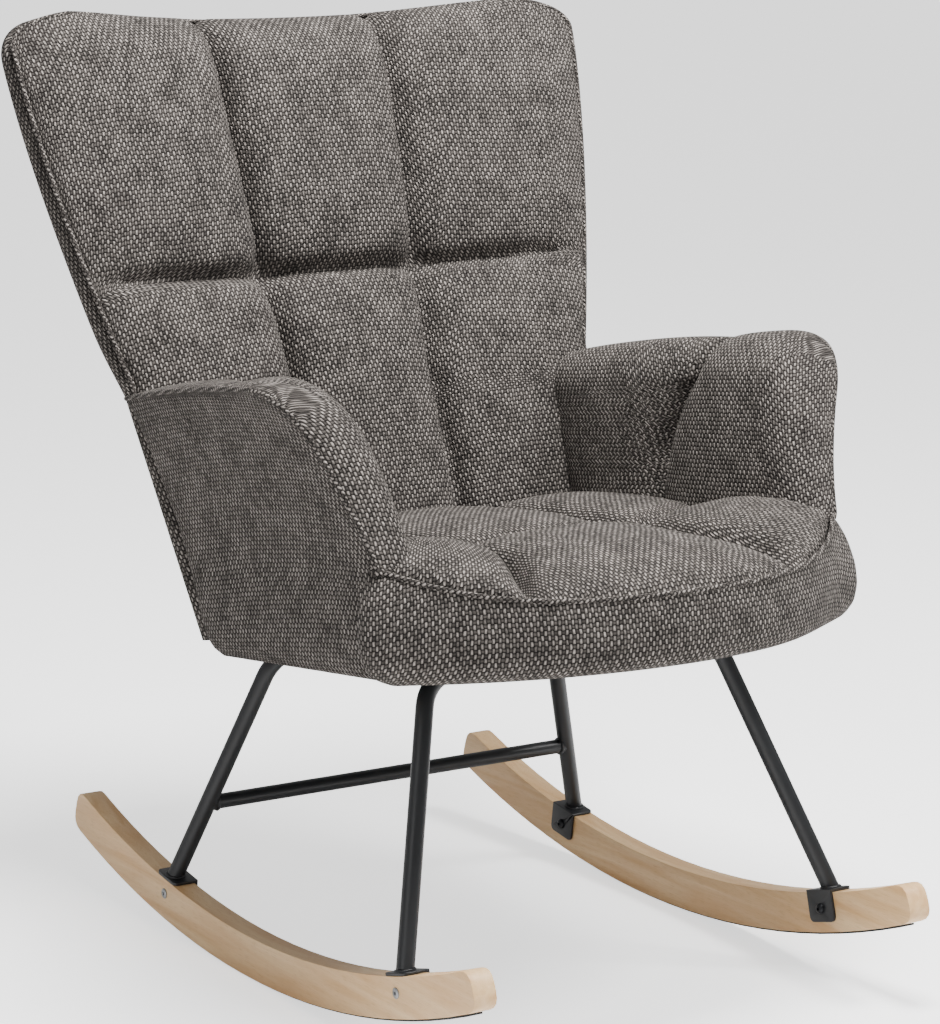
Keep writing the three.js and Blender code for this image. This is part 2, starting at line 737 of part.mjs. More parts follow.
addMesh(seat, "seat_board", seatBoardGeometry(), "plywood");
addMesh(seat, "dust_cover", dustCoverGeometry(), "liner");
for (const place of platePlaces) {
  addMesh(seat, `${place.name}_mounting_plate`, plateGeometry(place), "blackSteel");
}
for (const { name, x, y } of screwPlaces) {
  const screw = addMesh(seat, name, screwGeometry(), "blackSteel");
  screw.position.set(x, y, plateBottom - gap);
  const nut = addMesh(seat, name.replace("screw", "tee_nut"), teeNutGeometry(), "zincSteel");
  nut.position.set(x, y, boardTop + gap);
}

// ---- Seat upholstery -----------------------------------------------------------------------------

const foamBottom = boardTop + teeNutFlangeThickness + 2 * gap + padGap;
const foamTop = bandTop - padGap;

// The front band: a padded strip of cover that runs round the front from arm to arm. Its lower
// edge tucks in under the seat and its middle stands a little proud.
function seatBandGeometry() {
  const rings = bandLeans.map((lean) => [0, bandThickness].map(
    (inset) => seatFront(inset - lean, bandShoulder, 14)));
  const last = rings[0][0].length - 1;
  return shapedBox(last, 1, bandLeans.length - 1, (u, v, w) => {
    const point = rings[Math.round(w * (bandLeans.length - 1))][Math.round(v)][Math.round(u * last)];
    return [point.x, point.y, mix(bandBottom, bandTop, w)];
  });
}

function seatFoamGeometry() {
  const plan = seatPlan(foamInset + foamBandInset, armBoardInner - padGap, bandShoulder);
  return planExtrusion(plan, foamBottom, foamTop);
}

// The quilted top pad: its plan cut to a side profile that falls away at the front.
function seatPadGeometry() {
  const sideHalf = seatHalfWidth - armSeatThickness - padGap;
  const rear = Math.min(seatPadRear, seatRearAt(sideHalf, bandTop) - padGap);
  const outline = seatPlan(seatPadSetback, sideHalf, padShoulder, rear);
  const plan = planExtrusion(outline, bandTop, seatPadTop);
  const profile = new THREE.Shape();
  const flatTop = seatPadTop - cutterOverrun;
  const shoulder = seatPadShoulder - seatPadShoulderRound;
  profile.moveTo(rear + cutterOverrun, bandTop + padGap);
  profile.lineTo(rear + cutterOverrun, seatPadTop - seatPadRearDrop);
  profile.lineTo(rear - seatPadRearRound, flatTop);
  profile.lineTo(seatPadShoulder + seatPadShoulderLead, flatTop);
  profile.quadraticCurveTo(shoulder, seatPadTop - seatPadShoulderDrop, seatFrontY, seatPadFrontTop);
  profile.lineTo(seatFrontY, bandTop + padGap);
  const side = sideExtrusion(profile, -seatHalfWidth, seatHalfWidth);
  return geometryOf(solidOf(plan).intersect(solidOf(side)));
}

addMesh(seat, "seat_foam", seatFoamGeometry(), "foam");
addMesh(seat, "seat_front_band", seatBandGeometry(), "weave");
addMesh(seat, "seat_top_pad", seatPadGeometry(), "weave");

// ---- Arms, in the seat's frame -------------------------------------------------------------------

// The rear edge of the sides is one straight line in the chair's side view.
function sideRearAt(z) {
  return sideRearY + sideRearLean * (z - sideRearZ);
}

// A line of the side view, given as y for a height, as its y at a level of the seat's frame.
function seatLineAt(line, level) {
  const reference = toSeat(line(0), 0);
  const step = toSeat(line(1), 1);
  const perLevel = (step.y - reference.y) / (step.z - reference.z);
  return reference.y + (level - reference.z) * perLevel;
}

// The arms end at the sides' rear edge, or just ahead of the back rest where that comes first.
function armRearAt(level) {
  const rest = (z) => backPlaneAt(z) - armBackRelief;
  return Math.min(seatLineAt(sideRearAt, level), seatLineAt(rest, level));
}

// The front edge: upright beside the band, leaning back above the seat, then round into the top.
function armFrontAt(level) {
  const upright = bandTop + armStepRise;
  if (level < upright) return bandSeamY;
  if (level < armFrontLevel) {
    return mix(bandSeamY, armFrontY, (level - upright) / (armFrontLevel - upright));
  }
  const r = armTopRounding;
  const centreZ = armTopHeight - r;
  const lean = armFrontLean;
  const across = (r + (centreZ - armFrontLevel) * Math.sin(lean)) / Math.cos(lean);
  const centreY = armFrontY + across;
  const tangentZ = centreZ + r * Math.sin(lean);
  if (level < tangentZ) return armFrontY + (level - armFrontLevel) * Math.tan(lean);
  return centreY - Math.sqrt(Math.max(r * r - (level - centreZ) ** 2, 0));
}

// Places a point of the arm: u from rear to front, level above the seat's underside before the
// top's slope is applied, and depth in from the outer face.
function armPoint(u, level, depth) {
  const z = level - armRearDrop * (1 - u) ** 2 * (level / armTopHeight) ** 3;
  const flare = flareShare(level) * mix(armRearFlare, armTopFlare, u);
  const y = mix(armRearAt(z), armFrontAt(level), u);
  return [seatHalfWidth + flare - depth, y, z];
}

function armThicknessAt(level) {
  return mix(armSeatThickness, armTopThickness, flareShare(level));
}

// How much of the outward flare is reached at a level: none up to the seat, all at the top.
function flareShare(level) {
  const share = Math.max(0, (level - armFlareLevel) / (armTopHeight - armFlareLevel));
  return share ** armFlarePower;
}

// Levels of the rings of an arm piece. One lies at each bend of the front edge, and they are
// closer together where the top front corner turns.
function armLevels(bottom, top) {
  const upright = bandTop + armStepRise;
  const shares = [0.25, 0.45, 0.62, 0.78, 0.9, 1];
  return [
    bottom, mix(bottom, upright, 0.5), upright, armFrontLevel,
    ...shares.map((share) => mix(armFrontLevel, top, share)),
  ];
}

function armPanelGeometry() {
  const levels = armLevels(0, armTopHeight);
  return shapedBox(1, 10, levels.length - 1, (w, u, v) => {
    const level = levels[Math.round(v * (levels.length - 1))];
    return armPoint(1 - u, level, (1 - w) * armPanelThickness);
  });
}

function armBoardGeometry(grow = 0) {
  const levels = armLevels(boardBottom - grow, armTopHeight - armBoardInset + grow);
  const outer = armPanelThickness + padGap - armPocketOverrun * grow;
  const inner = armPanelThickness + padGap + armBoardThickness + grow;
  return shapedBox(1, 8, levels.length - 1, (w, u, v) => {
    const level = levels[Math.round(v * (levels.length - 1))];
    const length = armRearAt(level) - armFrontAt(level);
    const rear = (armBoardRearInset - grow) / length;
    const front = 1 - (armBoardInset - grow) / length;
    return armPoint(mix(front, rear, u), level, mix(inner, outer, w));
  });
}

// The pad covers the board's inner face and rolls over its top and front edges.
function armPadGeometry() {
  const levels = armLevels(bandTop + padGap, armTopHeight);
  const pad = shapedBox(4, 10, levels.length - 1, (w, u, v) => {
    const level = levels[Math.round(v * (levels.length - 1))];
    const depth = mix(armThicknessAt(level), armPanelThickness + padGap, w);
    const [x, y, z] = armPoint(1 - u, level, depth);
    return [x, y, z + (v === 1 ? armCrown * Math.sin(Math.PI * w) : 0)];
  });
  return cut(pad, armBoardGeometry(padGap));
}

for (const side of sides) {
  const group = addSide(seat, side);
  addMesh(group, `${side}_arm_board`, armBoardGeometry(), "plywood");
  addMesh(group, `${side}_arm_pad`, armPadGeometry(), "weave");
  addMesh(group, `${side}_arm_outer_panel`, armPanelGeometry(), "weave");
}

// ---- Back rest -----------------------------------------------------------------------------------

function backPlaneAt(z) {
  return backFootY + (z - backFootZ) * Math.tan(backRecline);
}

// Half width of the shell's side edges at a height.
function backHalfAt(z) {
  if (z < sideRearZ) {
    const rise = clamp((z - seatUnderside) / (sideRearZ - seatUnderside), 0, 1);
    return mix(seatHalfWidth, backArmHalf, rise);
  }
  const share = clamp((backWidestZ - z) / (backWidestZ - sideRearZ), 0, 1);
  return backTopHalf - backTopFlare * share ** armFlarePower;
}

// Height of the top edge across the back: round at the corners, dipped in the middle.
function backTopAt(u) {
  const ear = Math.sqrt(Math.max(1 - Math.abs(u) ** backEarPower, 0));
  const dip = backTopDip * Math.max(0, 1 - (u / backDipShare) ** 2);
  return mix(backWidestZ, backTopZ, ear) - dip;
}

// The front of the shell's side edges: behind the arms low down, behind the front plane above.
function shellEdgeAt(z) {
  const blend = THREE.MathUtils.smoothstep(z, sideRearZ, sideRearZ + shellBlendHeight);
  const above = backPlaneAt(z) + backEdgeThickness - shellEdgeThickness;
  return mix(sideRearAt(z) + padGap, above, blend);
}

function shellInnerAt(u, z) {
  const curve = 1 - u * u;
  return shellEdgeAt(z) + (shellBulge - shellThickness + shellEdgeThickness) * curve;
}

function shellOuterAt(u, z) {
  return shellEdgeAt(z) + shellEdgeThickness + shellBulge * (1 - u * u);
}

function shellBottomAt(u) {
  const y = shellOuterAt(u, seatUnderside);
  return seatUnderside + shellBottomRise - y * Math.tan(seatTilt);
}

const backLevels = [0, 0.1, 0.2, 0.3, 0.4, 0.46, 0.54, 0.64, 0.74, 0.84, 0.92, 0.97, 1];

function shellGeometry() {
  const last = backLevels.length - 1;
  return shapedBox(16, 1, last, (a, b, c) => {
    const u = 2 * a - 1;
    const z = mix(shellBottomAt(u), backTopAt(u), backLevels[Math.round(c * last)]);
    const y = b ? shellOuterAt(u, z) : shellInnerAt(u, z);
    return [u * backHalfAt(z), y, z];
  });
}

// Half width of the front pad: between the arms low down, as wide as the shell above them.
function padHalfAt(z) {
  const open = THREE.MathUtils.smoothstep(
    z, sideRearZ + backPadClearance, sideRearZ + backPadClearance + backPadSpread);
  return mix(backPadHalf, backHalfAt(z), open);
}

function padRearAt(x, z) {
  return shellInnerAt(x / backHalfAt(z), z) - backPadGap;
}

function padFrontAt(u, z, topZ) {
  const crown = backPuff * (1 - u ** 4);
  const roll = clamp((z - topZ + backTopRoll) / backTopRoll, 0, 1);
  return backPlaneAt(z) - crown + backTopRollDepth * roll * roll * (1 - u * u);
}

function backBoardGeometry(grow = 0) {
  const bottom = backPadBottomZ + backBoardBottomInset - grow;
  return shapedBox(8, 1, 8, (a, b, c) => {
    const u = 2 * a - 1;
    const z = mix(bottom, backTopZ - backTopDip - backBoardTopInset + grow, c);
    const half = Math.min(backBoardHalfShare * backHalfAt(z), backPadHalf - backBoardSideInset) + grow;
    const rear = padRearAt(u * half, z) - boardRelief;
    return [u * half, b ? rear + backPocketOverrun * grow : rear - backBoardThickness - grow, z];
  });
}

function backPadGeometry() {
  const last = backLevels.length - 1;
  const pad = shapedBox(16, 1, last, (a, b, c) => {
    const u = 2 * a - 1;
    const topZ = backTopAt(u);
    const z = mix(backPadBottomZ, topZ, backLevels[Math.round(c * last)]);
    const x = u * padHalfAt(z);
    return [x, b ? padRearAt(x, z) : padFrontAt(u, z, topZ), z];
  });
  return cut(pad, backBoardGeometry(padGap));
}

addMesh(chair, "back_outer_shell", shellGeometry(), "weave");
addMesh(chair, "back_board", backBoardGeometry(), "plywood");
addMesh(chair, "back_front_pad", backPadGeometry(), "weave");

chair.updateMatrixWorld(true);
const overall = new THREE.Box3().setFromObject(chair);
const middle = overall.getCenter(new THREE.Vector3());
chair.position.set(-middle.x, -middle.y, -overall.min.z);

export default chair;
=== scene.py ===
import math

import bmesh
import bpy
from mathutils import Matrix, Vector, noise


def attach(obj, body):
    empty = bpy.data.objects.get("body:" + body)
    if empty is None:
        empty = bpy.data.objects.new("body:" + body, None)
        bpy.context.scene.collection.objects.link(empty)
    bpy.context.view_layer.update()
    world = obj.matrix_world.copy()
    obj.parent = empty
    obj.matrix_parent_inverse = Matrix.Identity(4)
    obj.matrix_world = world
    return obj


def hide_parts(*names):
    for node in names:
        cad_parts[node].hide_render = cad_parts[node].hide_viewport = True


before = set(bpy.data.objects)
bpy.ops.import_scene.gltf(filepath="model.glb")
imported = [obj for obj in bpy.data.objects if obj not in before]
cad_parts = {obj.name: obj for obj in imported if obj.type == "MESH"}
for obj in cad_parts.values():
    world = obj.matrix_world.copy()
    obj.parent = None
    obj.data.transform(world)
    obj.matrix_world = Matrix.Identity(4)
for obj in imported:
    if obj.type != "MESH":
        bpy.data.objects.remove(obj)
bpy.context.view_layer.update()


# ---- The studio -------------------------------------------------------------------------------
# A plain pale floor, large soft lamps and the camera. None of it belongs to the chair. The key
# lamp stands to the front right, so the near side of the chair is the quieter one.

def linear(hex_colour):
    """An sRGB hex colour as linear RGBA."""
    parts = [int(hex_colour[i:i + 2], 16) / 255 for i in (1, 3, 5)]
    return (*[c / 12.92 if c <= 0.04045 else ((c + 0.055) / 1.055) ** 2.4 for c in parts], 1)


def add_node(tree, kind, links=None, **settings):
    """A shader node with its settings, its socket values and its incoming links."""
    node = tree.nodes.new(kind)
    for name, value in settings.items():
        setattr(node, name, value)
    for socket, value in (links or {}).items():
        if isinstance(value, bpy.types.NodeSocket):
            tree.links.new(value, node.inputs[socket])
        else:
            node.inputs[socket].default_value = value
    return node


def new_material(name):
    """An empty material with its Principled shader."""
    material = bpy.data.materials.new(name)
    material.use_nodes = True
    return material, material.node_tree, material.node_tree.nodes["Principled BSDF"]


def new_piece(name, bm, material, smooth_angle=35):
    """A finished bmesh as an object at the origin that rides with the chair."""
    mesh = bpy.data.meshes.new(name)
    bm.to_mesh(mesh)
    bm.free()
    for face in mesh.polygons:
        face.use_smooth = True
    mesh.set_sharp_from_angle(angle=math.radians(smooth_angle))
    piece = bpy.data.objects.new(name, mesh)
    bpy.context.scene.collection.objects.link(piece)
    mesh.materials.append(material)
    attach(piece, "root")
    return piece


floor_material, floor_tree, floor_shader = new_material("matt_white_studio_floor")
floor_shader.inputs["Base Color"].default_value = linear("#fbfbfb")
floor_shader.inputs["Roughness"].default_value = 0.9
floor_shader.inputs["Emission Color"].default_value = (1, 1, 1, 1)
# The floor glows a little, for the camera only, so that it reads as the white studio sweep it is.
seen = add_node(floor_tree, "ShaderNodeLightPath")
glow = add_node(floor_tree, "ShaderNodeMath", {0: seen.outputs["Is Camera Ray"], 1: 1.3},
                operation="MULTIPLY")
floor_tree.links.new(glow.outputs[0], floor_shader.inputs["Emission Strength"])
floor_bm = bmesh.new()
bmesh.ops.create_grid(floor_bm, x_segments=1, y_segments=1, size=400)
floor_mesh = bpy.data.meshes.new("studio_floor")
floor_bm.to_mesh(floor_mesh)
floor_bm.free()
floor_mesh.materials.append(floor_material)
floor = bpy.data.objects.new("studio_floor", floor_mesh)
bpy.context.scene.collection.objects.link(floor)

world = bpy.data.worlds.new("studio_world")
world.use_nodes = True
world.node_tree.nodes["Background"].inputs["Color"].default_value = (1, 1, 1, 1)
world.node_tree.nodes["Background"].inputs["Strength"].default_value = 0.42
bpy.context.scene.world = world


lamp_aim = Vector((0, 0, 0.5))


def soft_lamp(name, place, power, size):
    lamp = bpy.data.lights.new(name, "AREA")
    lamp.energy = power
    lamp.size = size
    holder = bpy.data.objects.new(name, lamp)
    holder.location = place
    holder.rotation_euler = (lamp_aim - Vector(place)).to_track_quat("-Z", "Y").to_euler()
    bpy.context.scene.collection.objects.link(holder)


soft_lamp("key_lamp", (1.5, -1.7, 3.2), 118, 1.0)
soft_lamp("fill_lamp", (-3.0, -1.2, 1.8), 16, 1.8)
soft_lamp("top_lamp", (0.0, -0.5, 3.2), 160, 1.0)

camera_data = bpy.data.cameras.new("camera")
camera_data.lens = 124.67
camera_data.shift_x = -0.0049
camera_data.shift_y = -0.0021
camera = bpy.data.objects.new("camera", camera_data)
camera_azimuth = math.radians(-32.0)
camera_elevation = math.radians(10.96)
camera.location = (-1.9139, -3.0824, 1.1644)
towards_camera = Vector((
    math.sin(camera_azimuth) * math.cos(camera_elevation),
    -math.cos(camera_azimuth) * math.cos(camera_elevation),
    math.sin(camera_elevation)))
camera.rotation_euler = (-towards_camera).to_track_quat("-Z", "Y").to_euler()
bpy.context.scene.collection.objects.link(camera)
bpy.context.scene.camera = camera


# ---- Rockers ----------------------------------------------------------------------------------
# Two curved rails of light hardwood, sawn to shape, with eased edges and a clear satin lacquer.
# The grain runs along the rail: short fine pores, with slow bands of tone between them.

mm = 0.001


def hardwood():
    """Rubberwood under lacquer: the eye sees a pale warm ground with brown pore flecks."""
    material, tree, shader = new_material("lacquered_rubberwood")
    place = add_node(tree, "ShaderNodeTexCoord").outputs["Object"]
    # Pores about 0.6 mm wide and 14 mm long, bands of tone about 12 mm wide.
    along = add_node(tree, "ShaderNodeMapping", {"Vector": place, "Scale": (1600, 70, 1600)})
    across = add_node(tree, "ShaderNodeMapping", {"Vector": place, "Scale": (80, 5, 80)})
    pores = add_node(tree, "ShaderNodeTexNoise", {"Vector": along.outputs[0], "Scale": 1, "Detail": 3})
    bands = add_node(tree, "ShaderNodeTexNoise",
                     {"Vector": across.outputs[0], "Scale": 1, "Detail": 4, "Distortion": 0.6})
    tone = add_node(tree, "ShaderNodeMapRange", {0: bands.outputs[0], 1: 0.3, 2: 0.72})
    ground = add_node(tree, "ShaderNodeMix", {0: tone.outputs[0], 6: linear("#cfa26f"),
                                              7: linear("#e6c596")}, data_type="RGBA")
    fleck = add_node(tree, "ShaderNodeMapRange", {0: pores.outputs[0], 1: 0.55, 2: 0.75, 4: 0.55})
    colour = add_node(tree, "ShaderNodeMix", {0: fleck.outputs[0], 6: ground.outputs[2],
                                              7: linear("#a67445")}, data_type="RGBA")
    bump = add_node(tree, "ShaderNodeBump", {"Height": fleck.outputs[0], "Strength": 0.3,
                                             "Distance": 0.2 * mm}, invert=True)
    tree.links.new(colour.outputs[2], shader.inputs["Base Color"])
    tree.links.new(bump.outputs[0], shader.inputs["Normal"])
    shader.inputs["Roughness"].default_value = 0.42
    shader.inputs["IOR"].default_value = 1.5
    return material


def dressed(node, material, edge, segments=2):
    """A copy of a CAD node, merged, with its edges rounded; it stands for the node."""
    bm = bmesh.new()
    bm.from_mesh(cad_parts[node].data)
    bmesh.ops.remove_doubles(bm, verts=bm.verts, dist=0.002 * mm)
    bmesh.ops.dissolve_limit(bm, angle_limit=math.radians(0.4), verts=bm.verts, edges=bm.edges)
    sharp = [e for e in bm.edges if e.calc_face_angle(0) > math.radians(35)]
    bmesh.ops.bevel(bm, geom=sharp, offset=edge, offset_type="OFFSET", affect="EDGES",
                    segments=segments, profile=0.5, material=-1, clamp_overlap=True)
    piece = new_piece(node + "_finished", bm, material)
    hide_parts(node)
    return piece


wood = hardwood()
sides = {"left": 1, "right": -1}
for side in sides:
    dressed(f"{side}_rocker", wood, edge=2.2 * mm, segments=4)


# ---- Floor strips -----------------------------------------------------------------------------
# A thin black rubber strip glued along the underside of each rocker, to grip the floor and to
# quieten it. It has the fine ribbed skin that extruded rubber has.

def ribbed_rubber():
    material, tree, shader = new_material("extruded_black_rubber")
    place = add_node(tree, "ShaderNodeTexCoord").outputs["Object"]
    ribs = add_node(tree, "ShaderNodeTexWave", {"Vector": place, "Scale": 260, "Distortion": 0.5},
                    bands_direction="X")
    bump = add_node(tree, "ShaderNodeBump", {"Height": ribs.outputs["Fac"], "Strength": 0.4,
                                             "Distance": 0.3 * mm})
    tree.links.new(bump.outputs[0], shader.inputs["Normal"])
    shader.inputs["Base Color"].default_value = linear("#161616")
    shader.inputs["Roughness"].default_value = 0.8
    return material


rubber = ribbed_rubber()
for side in sides:
    dressed(f"{side}_rocker_strip", rubber, edge=0.4 * mm)


# ---- Leg frames -------------------------------------------------------------------------------
# Front and rear: one 18 mm steel tube each, bent into an upside-down U and powder coated satin
# black. The feet are welded to the brackets, and the top run lies under the seat.

floor_contact = 9.16 * mm  # where the rockers touch the floor
seat_tilt = math.radians(7)
seat_underside = 337 * mm
tube_radius = 9 * mm
bend_radius = 42 * mm
foot_x = 255 * mm
top_half = 171 * mm
top_run_level = -14.3 * mm
foot_lift = 3.5 * mm
rocker_arc = 1180  # the radius of the top of a rocker, in mm
rocker_centre = (-7, 1226.3)  # y and z of the centre of that arc, in mm
legs = {"front": (-311 * mm, -214 * mm), "rear": (166 * mm, 92 * mm)}


def rocker_top(y):
    """Height of the top of a rocker."""
    return (rocker_centre[1] - math.sqrt(rocker_arc ** 2 - (y / mm - rocker_centre[0]) ** 2)) * mm


def rocker_lean(y):
    """How far the top of a rocker has turned from level."""
    return math.asin((y / mm - rocker_centre[0]) / rocker_arc)


def chair_point(x, y, z):
    """From the chair's own datum, where the rockers touch the floor, to the frame."""
    return Vector((x, y + floor_contact, z))


def seat_point(x, y, level):
    """From the tilted frame on the underside of the seat."""
    return chair_point(
        x, y * math.cos(seat_tilt) + level * math.sin(seat_tilt),
        seat_underside - y * math.sin(seat_tilt) + level * math.cos(seat_tilt))


def powder_coat():
    """Powder coat: a satin black skin with a fine orange peel of about 0.8 mm."""
    material, tree, shader = new_material("black_powder_coated_steel")
    place = add_node(tree, "ShaderNodeTexCoord").outputs["Object"]
    peel = add_node(tree, "ShaderNodeTexNoise", {"Vector": place, "Scale": 1200, "Detail": 2})
    cloud = add_node(tree, "ShaderNodeTexNoise", {"Vector": place, "Scale": 40, "Detail": 2})
    rough = add_node(tree, "ShaderNodeMapRange", {0: cloud.outputs[0], 3: 0.34, 4: 0.46})
    bump = add_node(tree, "ShaderNodeBump", {"Height": peel.outputs[0], "Strength": 0.12,
                                             "Distance": 0.2 * mm})
    tree.links.new(rough.outputs[0], shader.inputs["Roughness"])
    tree.links.new(bump.outputs[0], shader.inputs["Normal"])
    shader.inputs["Base Color"].default_value = linear("#1b1c1e")
    return material


def ring_at(bm, centre, axis, radius, segments=28):
    """The vertices and edges of a circle square to an axis."""
    turn = axis.to_track_quat("Z", "Y").to_matrix().to_4x4()
    made = bmesh.ops.create_circle(bm, cap_ends=False, segments=segments, radius=radius,
                                   matrix=Matrix.Translation(centre) @ turn)
    verts = made["verts"]
    return verts, list({e for v in verts for e in v.link_edges})


def leg_frame(foot, top):
    """One half is swept from the foot round the bend to the middle, and then mirrored."""
    along = (top - foot).normalized()
    inward = Vector((-1, 0, 0))
    turn = along.angle(inward)
    bend_start = top - along * bend_radius * math.tan(turn / 2)
    normal = (inward - along * along.dot(inward)).normalized()
    centre = bend_start + normal * bend_radius
    bm = bmesh.new()
    verts, edges = ring_at(bm, foot, along, tube_radius)
    bmesh.ops.contextual_create(bm, geom=edges)
    lengths = 6
    for _ in range(lengths):
        made = bmesh.ops.extrude_edge_only(bm, edges=edges)["geom"]
        verts = [g for g in made if isinstance(g, bmesh.types.BMVert)]
        edges = [g for g in made if isinstance(g, bmesh.types.BMEdge)
                 and all(v in verts for v in g.verts)]
        bmesh.ops.translate(bm, verts=verts, vec=(bend_start - foot) / lengths)
    made = bmesh.ops.spin(bm, geom=edges, cent=centre, axis=along.cross(normal), angle=turn,
                          steps=12, use_merge=False)["geom_last"]
    edges = [g for g in made if isinstance(g, bmesh.types.BMEdge)]
    made = bmesh.ops.extrude_edge_only(bm, edges=edges)["geom"]
    for v in (g for g in made if isinstance(g, bmesh.types.BMVert)):
        v.co.x = 0
    bmesh.ops.mirror(bm, geom=bm.verts[:] + bm.edges[:] + bm.faces[:], axis="X",
                     merge_dist=0.01 * mm)
    bmesh.ops.remove_doubles(bm, verts=bm.verts, dist=0.01 * mm)
    bmesh.ops.recalc_face_normals(bm, faces=bm.faces)
    return bm


def weld_bead(name, centre, axis, radius):
    """A small fillet of weld under the powder coat, slightly uneven round the tube."""
    bm = bmesh.new()
    side = axis.orthogonal().normalized()
    verts, edges = ring_at(bm, centre + side * radius, axis.cross(side), 1.7 * mm, 8)
    bmesh.ops.spin(bm, geom=edges, cent=centre, axis=axis, angle=2 * math.pi, steps=36,
                   use_merge=True)
    bmesh.ops.remove_doubles(bm, verts=bm.verts, dist=0.01 * mm)
    for v in bm.verts:
        v.co += axis * noise.noise(v.co * 300) * 0.7 * mm
    bmesh.ops.recalc_face_normals(bm, faces=bm.faces)
    return new_piece(name, bm, black_steel, smooth_angle=70)


black_steel = powder_coat()
leg_lines = {}
for end, (foot_y, bar_y) in legs.items():
    bar_seat_y = (bar_y - top_run_level * math.sin(seat_tilt)) / math.cos(seat_tilt)
    foot = chair_point(foot_x, foot_y, rocker_top(foot_y) + foot_lift)
    top = seat_point(top_half, bar_seat_y, top_run_level)
    leg_lines[end] = (foot, top)
    piece = new_piece(f"{end}_leg_tube", leg_frame(foot, top), black_steel)
    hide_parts(f"{end}_leg_frame")
    for side, sign in sides.items():
        lean = rocker_lean(foot_y)
        up = Vector((0, -math.sin(lean), math.cos(lean)))
        place = Vector((sign * foot.x, foot.y, foot.z)) + up * 0.4 * mm
        weld_bead(f"{end}_{side}_foot_weld", place, up, tube_radius + 0.6 * mm)


# ---- Cross bar --------------------------------------------------------------------------------
# A 16 mm tube between the rear legs, its ends coped to the legs and welded. It stops the chair
# from racking sideways.

bar_height = 143.5 * mm
bar_radius = 8 * mm
rear_foot, rear_top = leg_lines["rear"]
share = (bar_height - rear_foot.z) / (rear_top.z - rear_foot.z)
bar_end = rear_foot.lerp(rear_top, share)
bm = bmesh.new()
bmesh.ops.create_cone(bm, cap_ends=True, segments=28, radius1=bar_radius, radius2=bar_radius,
                      depth=2 * (bar_end.x - 2 * mm),
                      matrix=Matrix.Translation((0, bar_end.y, bar_end.z))
                      @ Matrix.Rotation(math.pi / 2, 4, "Y"))
piece = new_piece("rear_cross_tube", bm, black_steel)
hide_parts("rear_cross_bar")
for side, sign in sides.items():
    joint = Vector((sign * (bar_end.x - tube_radius - 0.6 * mm), bar_end.y, bar_end.z))
    weld_bead(f"cross_bar_{side}_weld", joint, Vector((1, 0, 0)), bar_radius + 0.3 * mm)


# ---- Brackets and their bolts -----------------------------------------------------------------
# Each tube foot stands on an L of 3 mm steel that is folded over the top and the inner face of
# the rocker. A button-head bolt goes through it into a sleeve nut from the wood's outer face.

def turned(name, profile, centre, axis, material, segments=32):
    """A piece turned about an axis from (radius, height) points."""
    bm = bmesh.new()
    side = axis.orthogonal().normalized()
    points = [bm.verts.new(centre + side * r + axis * h) for r, h in profile]
    edges = [bm.edges.new(pair) for pair in zip(points, points[1:])]
    bmesh.ops.spin(bm, geom=points + edges, cent=centre, axis=axis, angle=2 * math.pi,
                   steps=segments, use_merge=True)
    bmesh.ops.remove_doubles(bm, verts=bm.verts, dist=0.004 * mm)
    bmesh.ops.recalc_face_normals(bm, faces=bm.faces)
    return new_piece(name, bm, material, smooth_angle=40)


def black_oxide():
    material, tree, shader = new_material("black_oxide_steel")
    place = add_node(tree, "ShaderNodeTexCoord").outputs["Object"]
    grain = add_node(tree, "ShaderNodeTexNoise", {"Vector": place, "Scale": 900, "Detail": 3})
    rough = add_node(tree, "ShaderNodeMapRange", {0: grain.outputs[0], 3: 0.25, 4: 0.45})
    tree.links.new(rough.outputs[0], shader.inputs["Roughness"])
    shader.inputs["Base Color"].default_value = linear("#2a2b2d")
    shader.inputs["Metallic"].default_value = 0.8
    return material


def zinc_plate():
    """Zinc plate: cool bright grey with a faint clouded crystal pattern."""
    material, tree, shader = new_material("zinc_plated_steel")
    place = add_node(tree, "ShaderNodeTexCoord").outputs["Object"]
    cells = add_node(tree, "ShaderNodeTexVoronoi", {"Vector": place, "Scale": 900})
    rough = add_node(tree, "ShaderNodeMapRange", {0: cells.outputs["Distance"], 3: 0.28, 4: 0.5})
    tree.links.new(rough.outputs[0], shader.inputs["Roughness"])
    shader.inputs["Base Color"].default_value = linear("#9a9c9e")
    shader.inputs["Metallic"].default_value = 1.0
    return material


fastener_black = black_oxide()
zinc = zinc_plate()
# Each outline is radius and height from the bearing face, in mm.
button_head = [(0, 1.4), (2.0, 1.4), (2.0, 3.3), (3.3, 3.1), (4.6, 2.2), (5.3, 1.0), (5.5, 0.1),
               (5.5, -0.2), (3, -0.2), (3, -22), (0, -22)]
sleeve_nut = [(1.9, 0.2), (1.9, 1.3), (4.9, 1.3), (5.5, 0.8), (5.5, -0.2), (4, -0.2), (4, -19),
              (3.3, -19), (3.3, -0.6), (0, -0.6), (0, 0.2), (1.9, 0.2)]
bolt_drop = 16 * mm
rocker_half = 12.5 * mm
for end, (foot_y, _) in legs.items():
    lean = rocker_lean(foot_y)
    down = Vector((0, math.sin(lean), -math.cos(lean)))
    for side, sign in sides.items():
        dressed(f"{end}_{side}_bracket", black_steel, edge=0.9 * mm, segments=3)
        hole = chair_point(sign * foot_x, foot_y, rocker_top(foot_y)) + down * bolt_drop
        inward = Vector((-sign, 0, 0))
        piece = turned(f"{end}_{side}_button_bolt", [(r * mm, h * mm) for r, h in button_head],
                       hole + inward * (rocker_half + 3.6 * mm), inward, fastener_black)
        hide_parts(f"{end}_{side}_bracket_bolt")
        piece = turned(f"{end}_{side}_barrel_nut", [(r * mm, h * mm) for r, h in sleeve_nut],
                       hole - inward * rocker_half, -inward, zinc)
        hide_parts(f"{end}_{side}_sleeve_nut")


